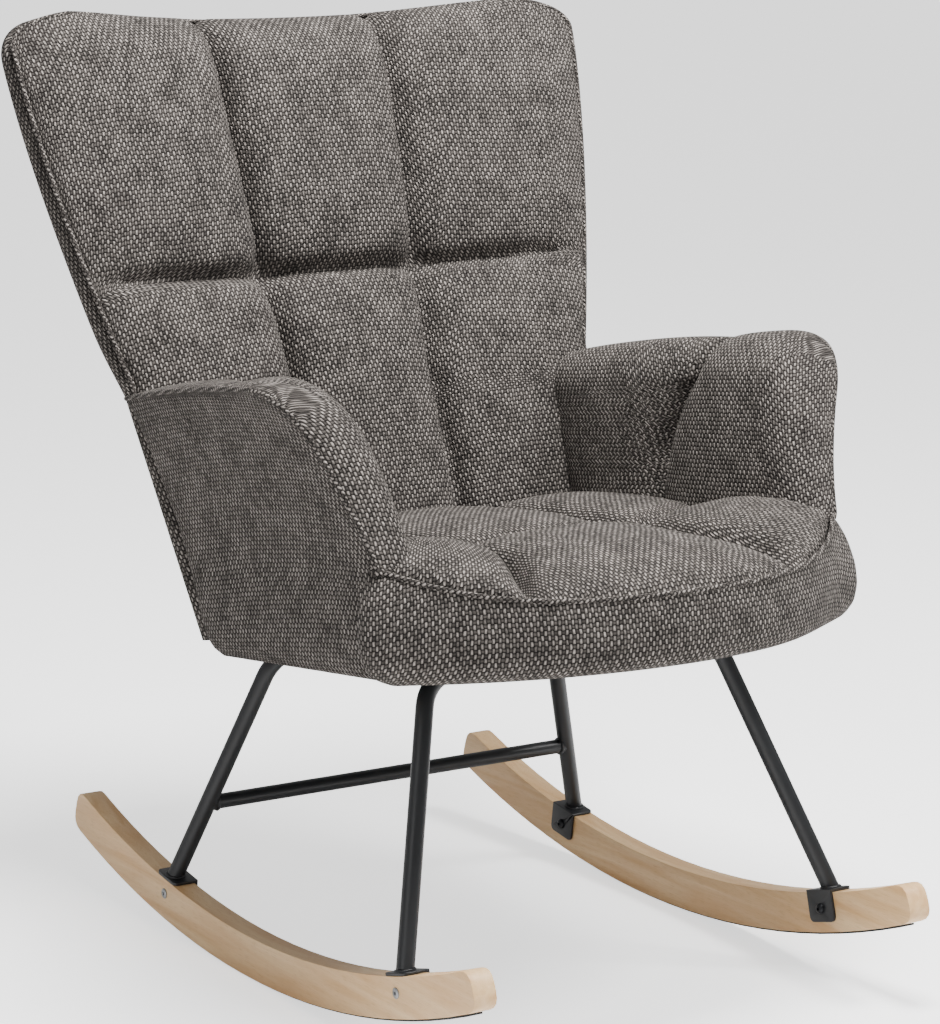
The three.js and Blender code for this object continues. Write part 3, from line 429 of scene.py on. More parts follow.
# ---- Seat base --------------------------------------------------------------------------------
# A plywood board with a stapled black dust cover under it. Four steel plates are welded to the
# leg frames, and eight button-head screws go through them into tee nuts in the board.

def plain_plywood():
    material, tree, shader = new_material("raw_plywood")
    place = add_node(tree, "ShaderNodeTexCoord").outputs["Object"]
    stretch = add_node(tree, "ShaderNodeMapping", {"Vector": place, "Scale": (9, 160, 160)})
    grain = add_node(tree, "ShaderNodeTexNoise", {"Vector": stretch.outputs[0], "Scale": 1, "Detail": 5})
    colour = add_node(tree, "ShaderNodeMix", {0: grain.outputs[0], 6: linear("#b28a58"),
                                              7: linear("#dcbf8e")}, data_type="RGBA")
    tree.links.new(colour.outputs[2], shader.inputs["Base Color"])
    shader.inputs["Roughness"].default_value = 0.75
    return material


def spunbond():
    """Spun-bonded liner: matt black, with the small dimples that its fibres are bonded at."""
    material, tree, shader = new_material("black_spunbond_liner")
    place = add_node(tree, "ShaderNodeTexCoord").outputs["Object"]
    dimples = add_node(tree, "ShaderNodeTexVoronoi", {"Vector": place, "Scale": 600, "Randomness": 0.2})
    fibre = add_node(tree, "ShaderNodeTexNoise", {"Vector": place, "Scale": 300, "Detail": 6})
    colour = add_node(tree, "ShaderNodeMix", {0: fibre.outputs[0], 6: linear("#121213"),
                                              7: linear("#2b2b2c")}, data_type="RGBA")
    bump = add_node(tree, "ShaderNodeBump", {"Height": dimples.outputs["Distance"], "Strength": 0.4,
                                             "Distance": 0.3 * mm})
    tree.links.new(colour.outputs[2], shader.inputs["Base Color"])
    tree.links.new(bump.outputs[0], shader.inputs["Normal"])
    shader.inputs["Roughness"].default_value = 0.9
    return material


def open_foam():
    material, tree, shader = new_material("polyurethane_foam")
    place = add_node(tree, "ShaderNodeTexCoord").outputs["Object"]
    cells = add_node(tree, "ShaderNodeTexVoronoi", {"Vector": place, "Scale": 500})
    colour = add_node(tree, "ShaderNodeMix", {0: cells.outputs["Distance"], 6: linear("#c9bd97"),
                                              7: linear("#efe7cd")}, data_type="RGBA")
    tree.links.new(colour.outputs[2], shader.inputs["Base Color"])
    shader.inputs["Roughness"].default_value = 0.95
    return material


def repaint(node, material):
    """A hidden or plain CAD node keeps its shape and gets its real finish."""
    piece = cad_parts[node]
    piece.data.materials.clear()
    piece.data.materials.append(material)


plywood = plain_plywood()
repaint("seat_board", plywood)
repaint("back_board", plywood)
repaint("dust_cover", spunbond())
repaint("seat_foam", open_foam())
for side in sides:
    repaint(f"{side}_arm_board", plywood)
for end in legs:
    for side in sides:
        dressed(f"{end}_{side}_mounting_plate", black_steel, edge=0.6 * mm)
        for number in (1, 2):
            dressed(f"{end}_{side}_screw_{number}", fastener_black, edge=0.5 * mm)
            repaint(f"{end}_{side}_tee_nut_{number}", zinc)


# ---- Cover cloth ------------------------------------------------------------------------------
# Everything soft wears one charcoal cloth: a plain weave of fat chenille yarn, 3.3 mm apart. Grey
# floats stand out of nearly black gaps, which are painted shade, and single yarns and whole patches
# differ in tone.

def chenille(name, gap_shade_and_dark_yarn, pale, pitch=(3.3 * mm, 4.7 * mm, 3.3 * mm)):
    material, tree, shader = new_material(name)

    def sums(operation, a, b=None):
        values = {0: a} if b is None else {0: a, 1: b}
        return add_node(tree, "ShaderNodeMath", values, operation=operation).outputs[0]

    flat = add_node(tree, "ShaderNodeUVMap", uv_map="cloth").outputs[0]
    # Yarns wander by about a fifth of their pitch over a few centimetres.
    wander = add_node(tree, "ShaderNodeTexNoise", {"Vector": flat, "Scale": 90, "Detail": 2})
    shift = add_node(tree, "ShaderNodeVectorMath", {0: wander.outputs["Color"], 1: (0.5, 0.5, 0.5)},
                     operation="SUBTRACT")
    moved = add_node(tree, "ShaderNodeVectorMath", {0: shift.outputs[0], 1: (3 * mm,) * 3, 2: flat},
                     operation="MULTIPLY_ADD")
    cells = add_node(tree, "ShaderNodeVectorMath", {0: moved.outputs[0], 1: tuple(1 / p for p in pitch)},
                     operation="MULTIPLY")
    split = add_node(tree, "ShaderNodeSeparateXYZ", {0: cells.outputs[0]})
    u, v = split.outputs[0], split.outputs[1]
    column, row = sums("FLOOR", u), sums("FLOOR", v)
    across = sums("SUBTRACT", sums("FRACT", u), 0.5)
    along = sums("SUBTRACT", sums("FRACT", v), 0.5)
    over = sums("MODULO", sums("ABSOLUTE", sums("ADD", column, row)), 2.0)

    def float_height(width, length):
        """A yarn that rises out of the cloth: round across its width, arched along its length."""
        round_side = sums("SUBTRACT", 1.0, sums("MULTIPLY", sums("MULTIPLY", width, width), 4.6))
        arch = sums("COSINE", sums("MULTIPLY", length, 1.9))
        return sums("MULTIPLY", round_side, arch)

    warp = float_height(across, along)
    weft = sums("MULTIPLY", float_height(along, across), 0.35)
    woven = add_node(tree, "ShaderNodeMix", {0: over, 2: weft, 3: warp}, data_type="FLOAT")
    height = sums("MAXIMUM", woven.outputs[0], 0.0)

    # One tone for each float, a slower one along each yarn, and soft patches of 40 mm.
    corner = add_node(tree, "ShaderNodeCombineXYZ", {0: column, 1: row})
    single = add_node(tree, "ShaderNodeTexWhiteNoise", {0: corner.outputs[0]}, noise_dimensions="2D")
    stretch = add_node(tree, "ShaderNodeMapping", {"Vector": cells.outputs[0], "Scale": (1, 0.12, 1)})
    yarn = add_node(tree, "ShaderNodeTexNoise", {"Vector": stretch.outputs[0], "Scale": 0.9, "Detail": 2})
    patch = add_node(tree, "ShaderNodeTexNoise", {"Vector": flat, "Scale": 24, "Detail": 4})
    strand = add_node(tree, "ShaderNodeMapping", {"Vector": flat, "Scale": (1, 0.35, 1)})
    fluff = add_node(tree, "ShaderNodeTexNoise", {"Vector": strand.outputs[0], "Scale": 1500, "Detail": 3})
    tone = sums("ADD", sums("MULTIPLY", single.outputs[0], 0.5), sums("MULTIPLY", yarn.outputs[0], 0.5))
    tone = sums("ADD", tone, sums("MULTIPLY", patch.outputs[0], 0.9))
    tone = sums("ADD", tone, sums("MULTIPLY", fluff.outputs[0], 0.9))
    # Painted shade: the tone is scaled by the weave's height, so the sunken weft and the gaps go dark.
    tone = sums("MULTIPLY", sums("SUBTRACT", tone, 0.74), sums("POWER", height, 1.3))
    colour = add_node(tree, "ShaderNodeMix", {0: tone, 6: linear(gap_shade_and_dark_yarn), 7: linear(pale)},
                      data_type="RGBA", clamp_factor=True)
    surface = sums("ADD", height, sums("MULTIPLY", fluff.outputs[0], 0.35))
    bump = add_node(tree, "ShaderNodeBump", {"Height": surface, "Strength": 1.0,
                                             "Distance": 1.6 * mm})
    tree.links.new(colour.outputs[2], shader.inputs["Base Color"])
    tree.links.new(bump.outputs[0], shader.inputs["Normal"])
    shader.inputs["Roughness"].default_value = 0.92
    shader.inputs["Specular IOR Level"].default_value = 0.1
    shader.inputs["Sheen Weight"].default_value = 0.06
    shader.inputs["Sheen Roughness"].default_value = 0.45
    shader.inputs["Sheen Tint"].default_value = linear("#b9b4ae")
    return material


# The dark colour is the darkest yarn tone and also the painted shade in the gaps of the weave.
cloth = chenille("charcoal_chenille_weave", gap_shade_and_dark_yarn="#060505", pale="#b9b0a9")


def cloth_panel(name, across, along, face, lining):
    """A closed pad: its face and its hidden lining are given by the same two shares, each from
    0 to 1. The cloth's own map is its length along the threads, so the weave keeps its size."""
    bm = bmesh.new()
    bmesh.ops.create_grid(bm, x_segments=across, y_segments=along, size=0.5)
    key = {v: (round((v.co.x + 0.5) * across), round((v.co.y + 0.5) * along), 0) for v in bm.verts}
    made = bmesh.ops.extrude_face_region(bm, geom=bm.faces[:], use_keep_orig=True)["geom"]
    for v in made:
        if isinstance(v, bmesh.types.BMVert):
            key[v] = (round((v.co.x + 0.5) * across), round((v.co.y + 0.5) * along), 1)
    at = {}
    for v, (i, j, outer) in key.items():
        v.co = (face if outer else lining)(i / across, j / along)
        at[i, j, outer] = v.co.copy()
    thread = {}
    for outer in (0, 1):
        for j in range(along + 1):
            run = 0.0
            steps = []
            for i in range(across + 1):
                run += (at[i, j, outer] - at[i - 1, j, outer]).length if i else 0
                steps.append(run)
            for i in range(across + 1):
                thread[i, j, outer] = [steps[i] - steps[across // 2], 0.0]
        for i in range(across + 1):
            run = 0.0
            for j in range(along + 1):
                run += (at[i, j, outer] - at[i, j - 1, outer]).length if j else 0
                thread[i, j, outer][1] = run
    bmesh.ops.recalc_face_normals(bm, faces=bm.faces)
    uv = bm.loops.layers.uv.new("cloth")
    for f in bm.faces:
        for loop in f.loops:
            loop[uv].uv = thread[key[loop.vert]]
    piece = new_piece(name, bm, cloth, smooth_angle=75)
    return piece


def mix(a, b, t):
    return a + (b - a) * t


def clamp(t):
    return min(max(t, 0.0), 1.0)


def ease(t):
    t = clamp(t)
    return t * t * (3 - 2 * t)


def puff(q):
    """The round back of a sewn panel: 1 in its middle, steep at its seams at -1 and 1."""
    return (1 - min(abs(q), 1.0) ** 2.6) ** 0.62


def between(t, seams):
    """Where a share lies in its panel, from -1 at one seam to 1 at the next."""
    for low, high in zip(seams, seams[1:]):
        if t <= high:
            return 2 * (t - low) / (high - low) - 1
    return 1.0


def pucker(point, distance, reach=22 * mm, size=0.9 * mm):
    """Small gathers beside a seam, which fade with the distance from it."""
    fade = math.exp(-abs(distance) / reach)
    return size * fade * noise.noise(point * 55) + 0.8 * size * noise.noise(point * 14)


# ---- Seat pad ---------------------------------------------------------------------------------
# Six foam-filled panels, three across and two deep, on the seat. The cover is sewn down in
# channels, pulled deepest where they cross, and it falls away in front to the piping.

seat_half = 238 * mm
seat_rear = 108 * mm
front_radius = 332 * mm
front_edge = -434 * mm
corner_radius = 40 * mm
side_half = 268 * mm
channel_share = 0.45
cross_channel = -160 * mm
channel_level = 98 * mm
seat_puff = 36 * mm  # the crown of the front row of panels
seat_rear_puff = 24 * mm
seat_tuft_reach = 26 * mm
tuft_depth = 12 * mm  # the extra pull where channels cross
seat_wing = -262 * mm  # in front of here the seat is wider than the space between the arms
crease = 13 * mm  # how far the stitches draw a channel below the round of its panels
crease_reach = 9 * mm
piping_level = 63 * mm
piping_rise = 41 * mm


def seat_front(share, inset=0.0):
    """A point of the front outline for a share from -1 to 1: a bow with round corners."""
    centre = front_edge + front_radius
    bow, corner = front_radius - inset, corner_radius - inset
    corner_x = side_half - inset - corner
    corner_y = centre - math.sqrt((bow - corner) ** 2 - corner_x ** 2)
    meet = math.atan2(corner_x, centre - corner_y)
    part = abs(share)
    straight = 0.86
    sign = 1 if share >= 0 else -1
    if part < straight:
        angle = meet * part / straight
        return sign * bow * math.sin(angle), centre - bow * math.cos(angle)
    angle = mix(meet, math.radians(86), (part - straight) / (1 - straight))
    return sign * (corner_x + corner * math.sin(angle)), corner_y - corner * math.cos(angle)


def piping_level_at(x):
    return piping_level + piping_rise * (abs(x) / side_half) ** 3.9


def seat_x(share, half, edge_x, y, edge_y):
    return mix(half * share, edge_x, ease((seat_wing - y) / max(seat_wing - edge_y, 20 * mm)))


def seat_top(a, b):
    """The face of the pad from the rear (b 0) to the piping (b 1)."""
    share = 2 * a - 1
    deep = b + 0.12 * b * (1 - b)
    edge_x, edge_y = seat_front(share, 3 * mm)
    y = mix(seat_rear, edge_y, deep)
    x = seat_x(share, seat_half, edge_x, y, edge_y)
    q = between(share, (-1.0, -channel_share, channel_share, 1.0))
    front_share = clamp((cross_channel - y) / (cross_channel - edge_y))
    rear_share = clamp((seat_rear + 40 * mm - y) / (seat_rear + 40 * mm - cross_channel))
    r = 2 * front_share - 1 if y < cross_channel else 2 * rear_share - 1
    low = mix(channel_level, piping_level_at(edge_x), front_share ** 1.25)
    level = low + mix(seat_rear_puff, seat_puff, front_share) * puff(q) * puff(r)
    beside = (abs(share) - channel_share) * seat_half
    behind = y - cross_channel
    drawn = math.exp(-(beside / crease_reach) ** 2) + math.exp(-(behind / crease_reach) ** 2)
    tuft = math.exp(-(math.hypot(beside, behind) / seat_tuft_reach) ** 2)
    level -= (crease * min(drawn, 1) + tuft_depth * tuft) * (1 - 0.5 * ease((b - 0.85) / 0.15))
    point = seat_point(x, y, level)
    near_seam = min(1 - abs(q), 1 - abs(r)) * 80 * mm
    return point + Vector((0, 0, pucker(point, near_seam)))


def seat_lining(a, b):
    share = 2 * a - 1
    edge_x, edge_y = seat_front(share, 12 * mm)
    y = mix(seat_rear - 4 * mm, edge_y, b)
    x = seat_x(share, seat_half - 4 * mm, edge_x, y, edge_y)
    return seat_point(x, y, 63 * mm)


seat_pad = cloth_panel("seat_quilted_pad", 112, 112, seat_top, seat_lining)
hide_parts("seat_top_pad")


# ---- Front band -------------------------------------------------------------------------------
# A plain strip of the cloth over foam. It runs round the front of the seat from arm to arm, swells
# a little under the piping, and turns in below to be stapled to the board.

corner_swell = 21  # mm
# Level and way out from the outline of the seat, in mm.
band_profile = ((-14, -36), (-11, -20), (-5, -8), (4, -1), (16, 3), (30, 4.5), (46, 4), (58, 2))


def band_offset(level):
    for (l0, o0), (l1, o1) in zip(band_profile, band_profile[1:]):
        if level <= l1:
            return mix(o0, o1, (level - l0) / (l1 - l0))
    return band_profile[-1][1]


def front_band(a, b):
    share = 2 * a - 1
    edge_x, edge_y = seat_front(share)
    top = piping_level_at(edge_x) / mm - 2
    corner = math.exp(-((abs(share) - 0.93) / 0.16) ** 2) * math.sin(math.pi * b ** 0.7) ** 0.7
    shape = band_offset(mix(band_profile[0][0], band_profile[-1][0], b)) + corner_swell * corner
    x, y = seat_front(share, -shape * mm)
    point = seat_point(x, y, mix(-11, top, b ** 1.1) * mm)
    return point + Vector((0, -pucker(point, 40 * mm * (1 - b), size=0.8 * mm), 0))


def band_lining(a, b):
    x, y = seat_front(2 * a - 1, mix(37 * mm, 9 * mm, clamp(3 * b)))
    return seat_point(x, y, mix(-10 * mm, 60 * mm, b))


band = cloth_panel("seat_front_cover_band", 130, 26, front_band, band_lining)
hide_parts("seat_front_band")


# ---- Arms -------------------------------------------------------------------------------------
# Each arm is a board padded with foam. The inner pad, in two upright panels, rolls over the top
# and the front to a piped seam, and a plain panel covers the outside.

arm_height = 278 * mm
arm_front = -302 * mm
arm_front_level = 104 * mm
arm_front_foot = -282 * mm
arm_lean = math.radians(17.4)
arm_rounding = 76 * mm
arm_rear_drop = 17 * mm
arm_flare_level = 84 * mm
side_rear = (193 * mm, 576 * mm, 0.541)
roll_reach = 34 * mm
roll_crown = 9 * mm
arm_pad_foot = 92 * mm
arm_low_thick, arm_high_thick = 48 * mm, 64 * mm
arm_dip, arm_puff = 14 * mm, 11 * mm  # a panel of the pad at its seams and in its middle
arm_channel_foot, arm_channel_sweep = -52 * mm, -65 * mm
panel_corner = 30 * mm
arm_corner_z = arm_height - arm_rounding
arm_corner_y = arm_front + (arm_rounding + (arm_corner_z - arm_front_level) * math.sin(arm_lean)) \
    / math.cos(arm_lean)
arm_tangent = arm_corner_z + arm_rounding * math.sin(arm_lean)


def arm_rear_y(level):
    """The rear edge of the arm is one line in the side view of the chair."""
    def local(z):
        y, rise = side_rear[0] + side_rear[2] * (z - side_rear[1]), z - seat_underside
        return (y * math.cos(seat_tilt) - rise * math.sin(seat_tilt),
                y * math.sin(seat_tilt) + rise * math.cos(seat_tilt))
    (y0, l0), (y1, l1) = local(0.3), local(0.6)
    return y0 + (level - l0) * (y1 - y0) / (l1 - l0)


def arm_outline(level):
    """The front edge, then the round top corner, as y for a level."""
    if level < arm_front_level:
        return mix(arm_front_foot, arm_front, ease((level - 0.07) / 0.034))
    if level < arm_tangent:
        return arm_front + (level - arm_front_level) * math.tan(arm_lean)
    return arm_corner_y - math.sqrt(max(arm_rounding ** 2 - (level - arm_corner_z) ** 2, 0))


def seam_distance(y, level):
    """How far inside the piped seam a point is, and the way out to the seam."""
    slope = Vector((-math.cos(arm_lean), math.sin(arm_lean)))
    away = Vector((y - arm_corner_y, level - arm_corner_z))
    angle = math.atan2(away.y, -away.x)
    if angle > math.pi / 2 or away.x > 0 and away.y > 0:
        return arm_height - level, Vector((0, 1))
    if angle < arm_lean:
        line = Vector((y - arm_front, level - arm_front_level))
        return -line.dot(slope), slope
    return arm_rounding - away.length, away.normalized()


def flare(level):
    return (max(0.0, (level - arm_flare_level) / (arm_height - arm_flare_level))) ** 1.6


def arm_point(sign, u, y, level, depth):
    """u is the share from the rear (0) to the front (1), and depth is in from the outer face."""
    drop = arm_rear_drop * (1 - u) ** 2 * (max(level, 0) / arm_height) ** 3
    out = side_half + flare(level) * mix(21 * mm, 66 * mm, u)
    return seat_point(sign * (out - depth), y, level - drop)


def arm_place(u, v):
    """A place inside the outline for two shares, crowded towards the seam, where it rolls."""
    level = mix(arm_pad_foot, arm_height, 1 - (1 - v) ** 1.5)
    rear = arm_rear_y(level - arm_rear_drop * (level / arm_height) ** 3)
    front = arm_outline(level)
    share = 1 - (1 - u) ** 1.5
    return share, mix(rear, front, share), level


def arm_face(sign):
    def face(a, b):
        u = a if sign > 0 else 1 - a
        share, y, level = arm_place(u, b)
        inside, out = seam_distance(y, level)
        inside = max(inside, 0.0)
        thick = mix(arm_low_thick, arm_high_thick, min(flare(level), 1))
        channel = arm_channel_foot + arm_channel_sweep * clamp((level - 0.105) / 0.17) ** 2.2
        rear = arm_rear_y(level)
        q = (y - channel) / (rear + 20 * mm - channel) if y > channel else (channel - y) / (channel + 0.31)
        panel = 2 * clamp(q) - 1
        swell = puff(panel)
        drawn = math.exp(-((y - channel) / crease_reach) ** 2) * clamp((level - 0.1) / 0.06)
        thick = thick - arm_dip * (1 - swell) + arm_puff * swell - crease * drawn
        depth, shift = thick, 0.0
        if inside < roll_reach:
            angle = math.pi * (1 - inside / roll_reach)
            depth = thick / 2 * (1 + math.cos(angle))
            lift = roll_crown * math.sin(angle) * (0.2 + 0.9 * swell - 0.5 * drawn)
            sink = roll_reach * (1 - math.sin(angle)) if angle < math.pi / 2 else 0.0
            shift = inside + lift - sink
        y, level = y + out.x * shift, level + out.y * shift
        point = arm_point(sign, share, y, level, max(depth, 1 * mm))
        return point + Vector((-sign * pucker(point, abs(y - channel)), 0, 0))
    return face


def arm_lining(sign):
    def lining(a, b):
        u = a if sign > 0 else 1 - a
        share, y, level = arm_place(u, b)
        inside, out = seam_distance(y, level)
        keep = max(6 * mm - max(inside, 0.0), 0.0)
        return arm_point(sign, share, y - out.x * keep, level - out.y * keep, 1.2 * mm)
    return lining


def tucked(level):
    """How far the round lower rear corner of the outer panel is in at a level."""
    tuck = max(panel_corner - level, 0)
    return panel_corner - math.sqrt(max(panel_corner ** 2 - tuck ** 2, 0))


def panel_face(sign):
    def face(a, b):
        u = a if sign > 0 else 1 - a
        level = mix(-2 * mm, arm_height, 1 - (1 - b) ** 1.3)
        rear, front = arm_rear_y(level) - tucked(level + 2 * mm), arm_outline(level)
        y = mix(rear, front, u)
        rim = min(u, 1 - u) * (rear - front)
        rim = min(rim, max(arm_height - level, 0), level + 4 * mm)
        swell = 5 * mm * (1 - math.exp(-max(rim, 0) / (14 * mm)))
        point = arm_point(sign, u, y, level, 2.5 * mm - swell)
        return point + Vector((sign * pucker(point, rim, size=0.5 * mm), 0, 0))
    return face


def panel_lining(sign):
    def lining(a, b):
        u = a if sign > 0 else 1 - a
        level = mix(0 * mm, arm_height - 2 * mm, 1 - (1 - b) ** 1.3)
        rear, front = arm_rear_y(level) - 3 * mm - tucked(level), arm_outline(level) + 3 * mm
        return arm_point(sign, u, mix(rear, front, u), level, 9 * mm)
    return lining


for side, sign in sides.items():
    piece = cloth_panel(f"{side}_arm_quilted_pad", 96, 84, arm_face(sign), arm_lining(sign))
    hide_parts(f"{side}_arm_pad")
    piece = cloth_panel(f"{side}_arm_outer_cover", 80, 60, panel_face(sign), panel_lining(sign))
    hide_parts(f"{side}_arm_outer_panel")


# ---- Back rest --------------------------------------------------------------------------------
# A moulded shell under foam. Its front is six panels, three wide and two high, like the seat's.
# The sides stand forward as wings, and the middle of the top edge lies further back than they do.

recline = math.radians(20.75)
back_foot = (144 * mm, 430 * mm)
back_half = 354 * mm
arm_level_half = 288 * mm
wide_slope, arm_slope, top_slope = 534 * mm, 166 * mm, 574 * mm
piping_inset = 8 * mm
piping_lead = -12 * mm
top_ridge = 55 * mm
back_channel = 0.31
cross_slope = 277 * mm
front_pad_foot = -6 * mm
arm_top_slope, arm_top_fade = 118 * mm, 24 * mm
low_half = 238 * mm  # half the width of the pad where it stands between the arms
back_puff, wing_puff = 26 * mm, 23 * mm
back_crease = 10 * mm
back_tuft_reach = 28 * mm
top_roll = 78 * mm


def back_point(x, slope, depth):
    """slope runs up the front plane of the back rest, and depth goes in behind it."""
    return chair_point(
        x, back_foot[0] + slope * math.sin(recline) + depth * math.cos(recline),
        back_foot[1] + slope * math.cos(recline) - depth * math.sin(recline))


def back_half_at(slope):
    share = clamp((wide_slope - slope) / (wide_slope - arm_slope))
    return back_half - (back_half - arm_level_half) * share ** 1.45


def top_at(share):
    """Slope of the top edge, which turns down round at the ears."""
    ear = math.sqrt(max(1 - abs(share) ** 7, 0))
    return mix(wide_slope, top_slope, ear)


def ridge_depth(x):
    """Depth of the piped edge: behind the plane in the middle and ahead of it at the wings."""
    return piping_lead + (top_ridge - piping_lead) * max(0.0, 1 - (x / (280 * mm)) ** 2)


def back_share(a):
    """Crowds the columns of the mesh towards the sides, where the pad turns in."""
    turn = math.radians(80)
    return mix(math.sin((2 * a - 1) * turn) / math.sin(turn), 2 * a - 1, 0.5)


def above_arms(slope):
    """0 where the pad stands between the arms, and 1 where it reaches out over them."""
    return ease((slope - arm_top_slope) / arm_top_fade)


def back_face(a, b):
    share = back_share(a)
    top = top_at(share) + 2 * mm
    rise = 1 - (1 - b) ** 1.25
    slope = mix(front_pad_foot, top, rise)
    half = back_half_at(slope) - piping_inset
    x = share * mix(low_half, half, above_arms(slope))
    q = between(x / half, (-1.0, -back_channel, back_channel, 1.0))
    h = (slope - cross_slope) / (top + 6 * mm - cross_slope) if slope > cross_slope \
        else (cross_slope - slope) / (cross_slope + 60 * mm)
    h = 2 * clamp(h) - 1
    side = clamp((abs(x / half) - back_channel) / (1 - back_channel))
    floor_depth = mix(-1 * mm, piping_lead, side)
    crown = mix(back_puff, wing_puff, side ** 2) * puff(q) * puff(h) ** 0.8
    beside, above = abs(x) - back_channel * half, slope - cross_slope
    upright = math.exp(-(beside / crease_reach) ** 2)
    level_seam = math.exp(-(above / crease_reach) ** 2) * (1 - side ** 3)
    tuft = math.exp(-(math.hypot(beside, above) / back_tuft_reach) ** 2)
    depth = floor_depth - crown + back_crease * min(upright + level_seam, 1) + tuft_depth * tuft
    q_roll = clamp((slope - (top - top_roll)) / top_roll)
    rolled = 1 - math.sqrt(max(1 - q_roll ** 2.2, 0))
    depth = mix(depth, ridge_depth(x) + 6 * mm * upright, rolled)
    slope -= 8 * mm * upright * q_roll ** 2
    point = back_point(x, slope, depth)
    near = min((1 - abs(q)) * 100 * mm, (1 - abs(h)) * 120 * mm)
    return point + Vector((0, -1, 0)) * pucker(point, near) * (1 - rolled)


def shell_edge(z):
    """y of the side edge of the shell: behind the arms low down, behind the plane higher up."""
    plane = back_foot[0] + (z - back_foot[1]) * math.tan(recline)
    low = side_rear[0] + side_rear[2] * (z - side_rear[1]) + 0.6 * mm
    return mix(low, plane + 8 * mm, ease((z - side_rear[1]) / (70 * mm)))


def back_lining(a, b):
    share = back_share(a)
    top = top_at(share)
    slope = mix(front_pad_foot, top - 4 * mm, 1 - (1 - b) ** 1.25)
    half = back_half_at(slope) - piping_inset - 2 * mm
    x = share * mix(low_half - 4 * mm, half, above_arms(slope))
    inner = 44 * mm * (1 - (x / half) ** 2) + 2 * mm
    return back_point(x, slope, min(inner, ridge_depth(x) + 8 * mm) if slope > top - 60 * mm else inner)


back_pad = cloth_panel("back_quilted_pad", 140, 124, back_face, back_lining)
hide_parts("back_front_pad")


# ---- Back rest, outer cover -------------------------------------------------------------------
# One plain padded panel over the rear of the shell, from edge to edge. It turns forward round the
# rim to the piping, so that the rim looks round from the front.

shell_bulge = 84 * mm
rim_radius = 12 * mm
shell_foot = 343 * mm
rim_share = 0.9
shell_wide_z = 930 * mm
shell_roll = 46 * mm


def shell_height(share, b):
    x = share * (back_half - piping_inset)
    ridge = back_point(x, top_at(share), ridge_depth(x)).z
    return mix(shell_foot - 20 * mm * (1 - share ** 2), ridge, 1 - (1 - b) ** 1.3)


def shell_half_at(z):
    if z < side_rear[1]:
        return mix(side_half, arm_level_half, clamp((z - seat_underside) / (side_rear[1] - seat_underside)))
    share = clamp((shell_wide_z - z) / (shell_wide_z - side_rear[1]))
    return back_half - (back_half - arm_level_half) * share ** 1.45


def shell_outer(a, b):
    share = 1 - 2 * a
    z = shell_height(share, b)
    half = shell_half_at(z)
    part = abs(share)
    sign = 1 if share >= 0 else -1
    if part < rim_share:
        u = part / rim_share
        x = sign * u * half
        y = shell_edge(z) + 10 * mm + shell_bulge * (1 - u * u) - 2 * mm * u ** 8
    else:
        angle = math.radians(105) * (part - rim_share) / (1 - rim_share)
        x = sign * (half - rim_radius + rim_radius * math.cos(angle))
        y = shell_edge(z) + 8 * mm - rim_radius * math.sin(angle) * 1.4
    ridge = back_point(share * (back_half - piping_inset), top_at(share),
                       ridge_depth(share * (back_half - piping_inset)))
    q = clamp((z - (ridge.z - shell_roll)) / shell_roll)
    rolled = 1 - math.sqrt(max(1 - q ** 2.2, 0))
    point = chair_point(x, mix(y, ridge.y + 1.25 * mm, rolled), z)
    point.x = mix(point.x, ridge.x, rolled)
    return point + Vector((0, pucker(point, 60 * mm, size=0.5 * mm), 0))


def shell_lining(a, b):
    share = 1 - 2 * a
    z = mix(shell_height(share, 0) + 2 * mm, shell_height(share, 1) - 8 * mm, 1 - (1 - b) ** 1.3)
    half = shell_half_at(z) - 6 * mm
    return chair_point(share * half, shell_edge(z) + 3 * mm + (shell_bulge - 20 * mm) * (1 - share ** 2), z)


shell = cloth_panel("back_outer_cover", 110, 110, shell_outer, shell_lining)
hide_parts("back_outer_shell")


# ---- Piping -----------------------------------------------------------------------------------
# A cord wrapped in a bias-cut strip of the same cloth. It is sewn into the seams: round the back
# rest, along the top and the front of each arm, and across the front of the seat.

piping_radius = 2.7 * mm
piping_sides = 12


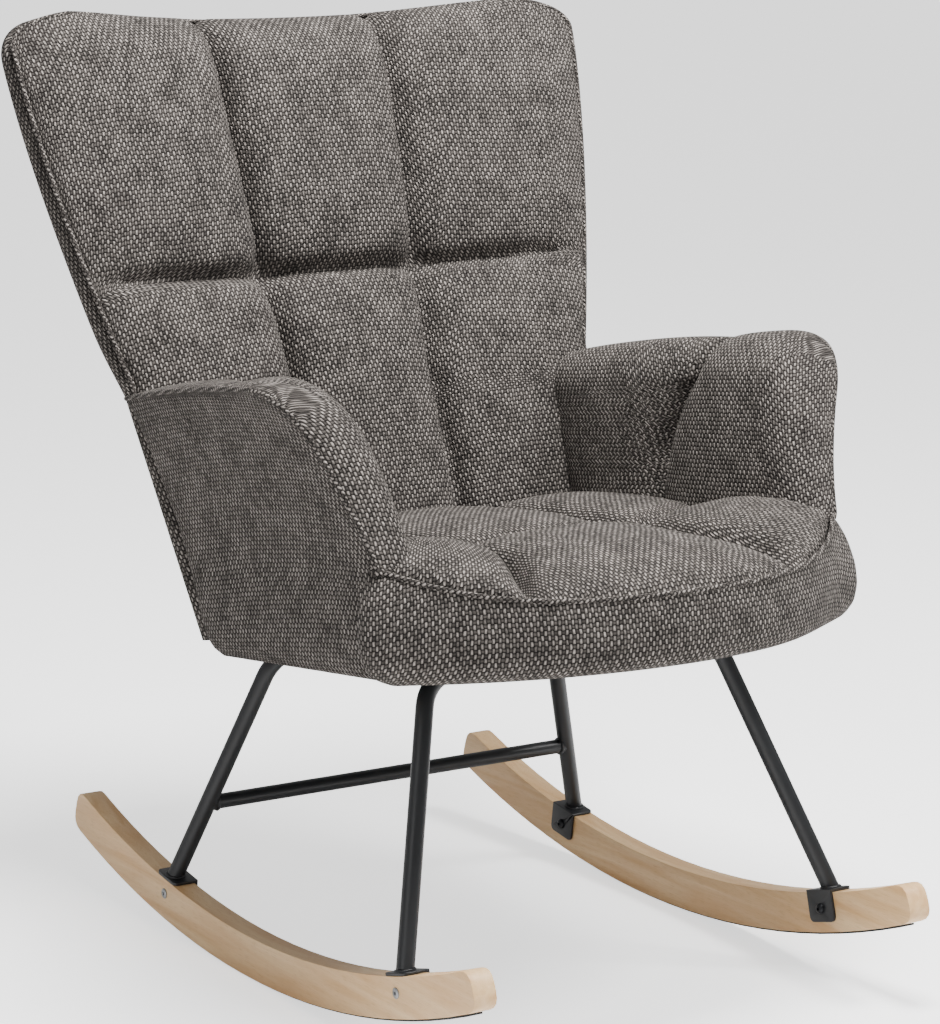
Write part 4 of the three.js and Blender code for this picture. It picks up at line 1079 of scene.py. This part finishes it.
def piping(name, route):
    """The wrapped cord: one ring swept along the points of its route."""
    bm = bmesh.new()
    last = len(route) - 1
    ways = [(route[min(i + 1, last)] - route[max(i - 1, 0)]).normalized() for i in range(last + 1)]
    verts, edges = ring_at(bm, route[0], ways[0], piping_radius, piping_sides)
    bmesh.ops.contextual_create(bm, geom=edges)
    place = {v: (0.0, k) for k, v in enumerate(verts)}
    run = 0.0
    for i in range(last):
        run += (route[i + 1] - route[i]).length
        made = bmesh.ops.extrude_edge_only(bm, edges=edges)["geom"]
        fresh = [g for g in made if isinstance(g, bmesh.types.BMVert)]
        edges = [g for g in made if isinstance(g, bmesh.types.BMEdge) and all(v in fresh for v in g.verts)]
        before = {v: next(o for e in v.link_edges for o in e.verts if o not in fresh) for v in fresh}
        place.update({v: (run, place[old][1]) for v, old in before.items()})
        turn = ways[i].rotation_difference(ways[i + 1]).to_matrix().to_4x4()
        matrix = Matrix.Translation(route[i + 1]) @ turn @ Matrix.Translation(-route[i])
        bmesh.ops.transform(bm, matrix=matrix, verts=fresh)
    bmesh.ops.contextual_create(bm, geom=edges)
    bmesh.ops.recalc_face_normals(bm, faces=bm.faces)
    uv = bm.loops.layers.uv.new("cloth")
    around = 2 * math.pi * piping_radius / piping_sides
    for f in bm.faces:
        turns = [place[loop.vert][1] for loop in f.loops]
        wraps = max(turns) - min(turns) > piping_sides / 2
        for loop in f.loops:
            s, k = place[loop.vert]
            w = around * (k + piping_sides if wraps and k < piping_sides / 2 else k)
            loop[uv].uv = ((s + w) * math.sqrt(0.5), (s - w) * math.sqrt(0.5))
    piece = new_piece(name, bm, cloth, smooth_angle=80)
    return piece


def evenly(count):
    return [i / (count - 1) for i in range(count)]


seam = []
for t in evenly(120):
    x, y = seat_front(2 * t - 1, -1 * mm)
    seam.append(seat_point(x, y, piping_level_at(x)))
piping("seat_front_piping", seam)

for side, sign in sides.items():
    rear = arm_rear_y(arm_height - arm_rear_drop) + 2 * mm
    seam = []
    for t in evenly(30):
        level = mix(98 * mm, arm_tangent, t)
        seam.append(arm_point(sign, 1.0, arm_outline(level), level, 0.5 * mm))
    for t in evenly(24)[1:]:
        angle = mix(arm_lean, math.pi / 2, t)
        y = arm_corner_y - arm_rounding * math.cos(angle)
        level = arm_corner_z + arm_rounding * math.sin(angle)
        u = (rear - y) / (rear - arm_outline(level))
        seam.append(arm_point(sign, u, y, level, 0.5 * mm))
    for t in evenly(36)[1:]:
        y = mix(arm_corner_y, rear, t)
        u = (rear - y) / (rear - arm_corner_y)
        seam.append(arm_point(sign, u, y, arm_height, 0.5 * mm))
    piping(f"{side}_arm_piping", seam)

half_rim = []
for t in evenly(80):
    slope = mix(132 * mm, wide_slope, t)
    half_rim.append(back_point(back_half_at(slope) - piping_inset + 2 * mm, slope, piping_lead + 1 * mm))
for t in evenly(100)[1:]:
    share = math.cos(t * math.pi / 2) ** 0.55 if t < 1 else 0.0
    x = share * (back_half - piping_inset + 2 * mm)
    half_rim.append(back_point(x, top_at(share) + 1 * mm, ridge_depth(x) + 1 * mm))
other_half = [Vector((-p.x, p.y, p.z)) for p in reversed(half_rim[:-1])]
piping("back_piping", half_rim + other_half)
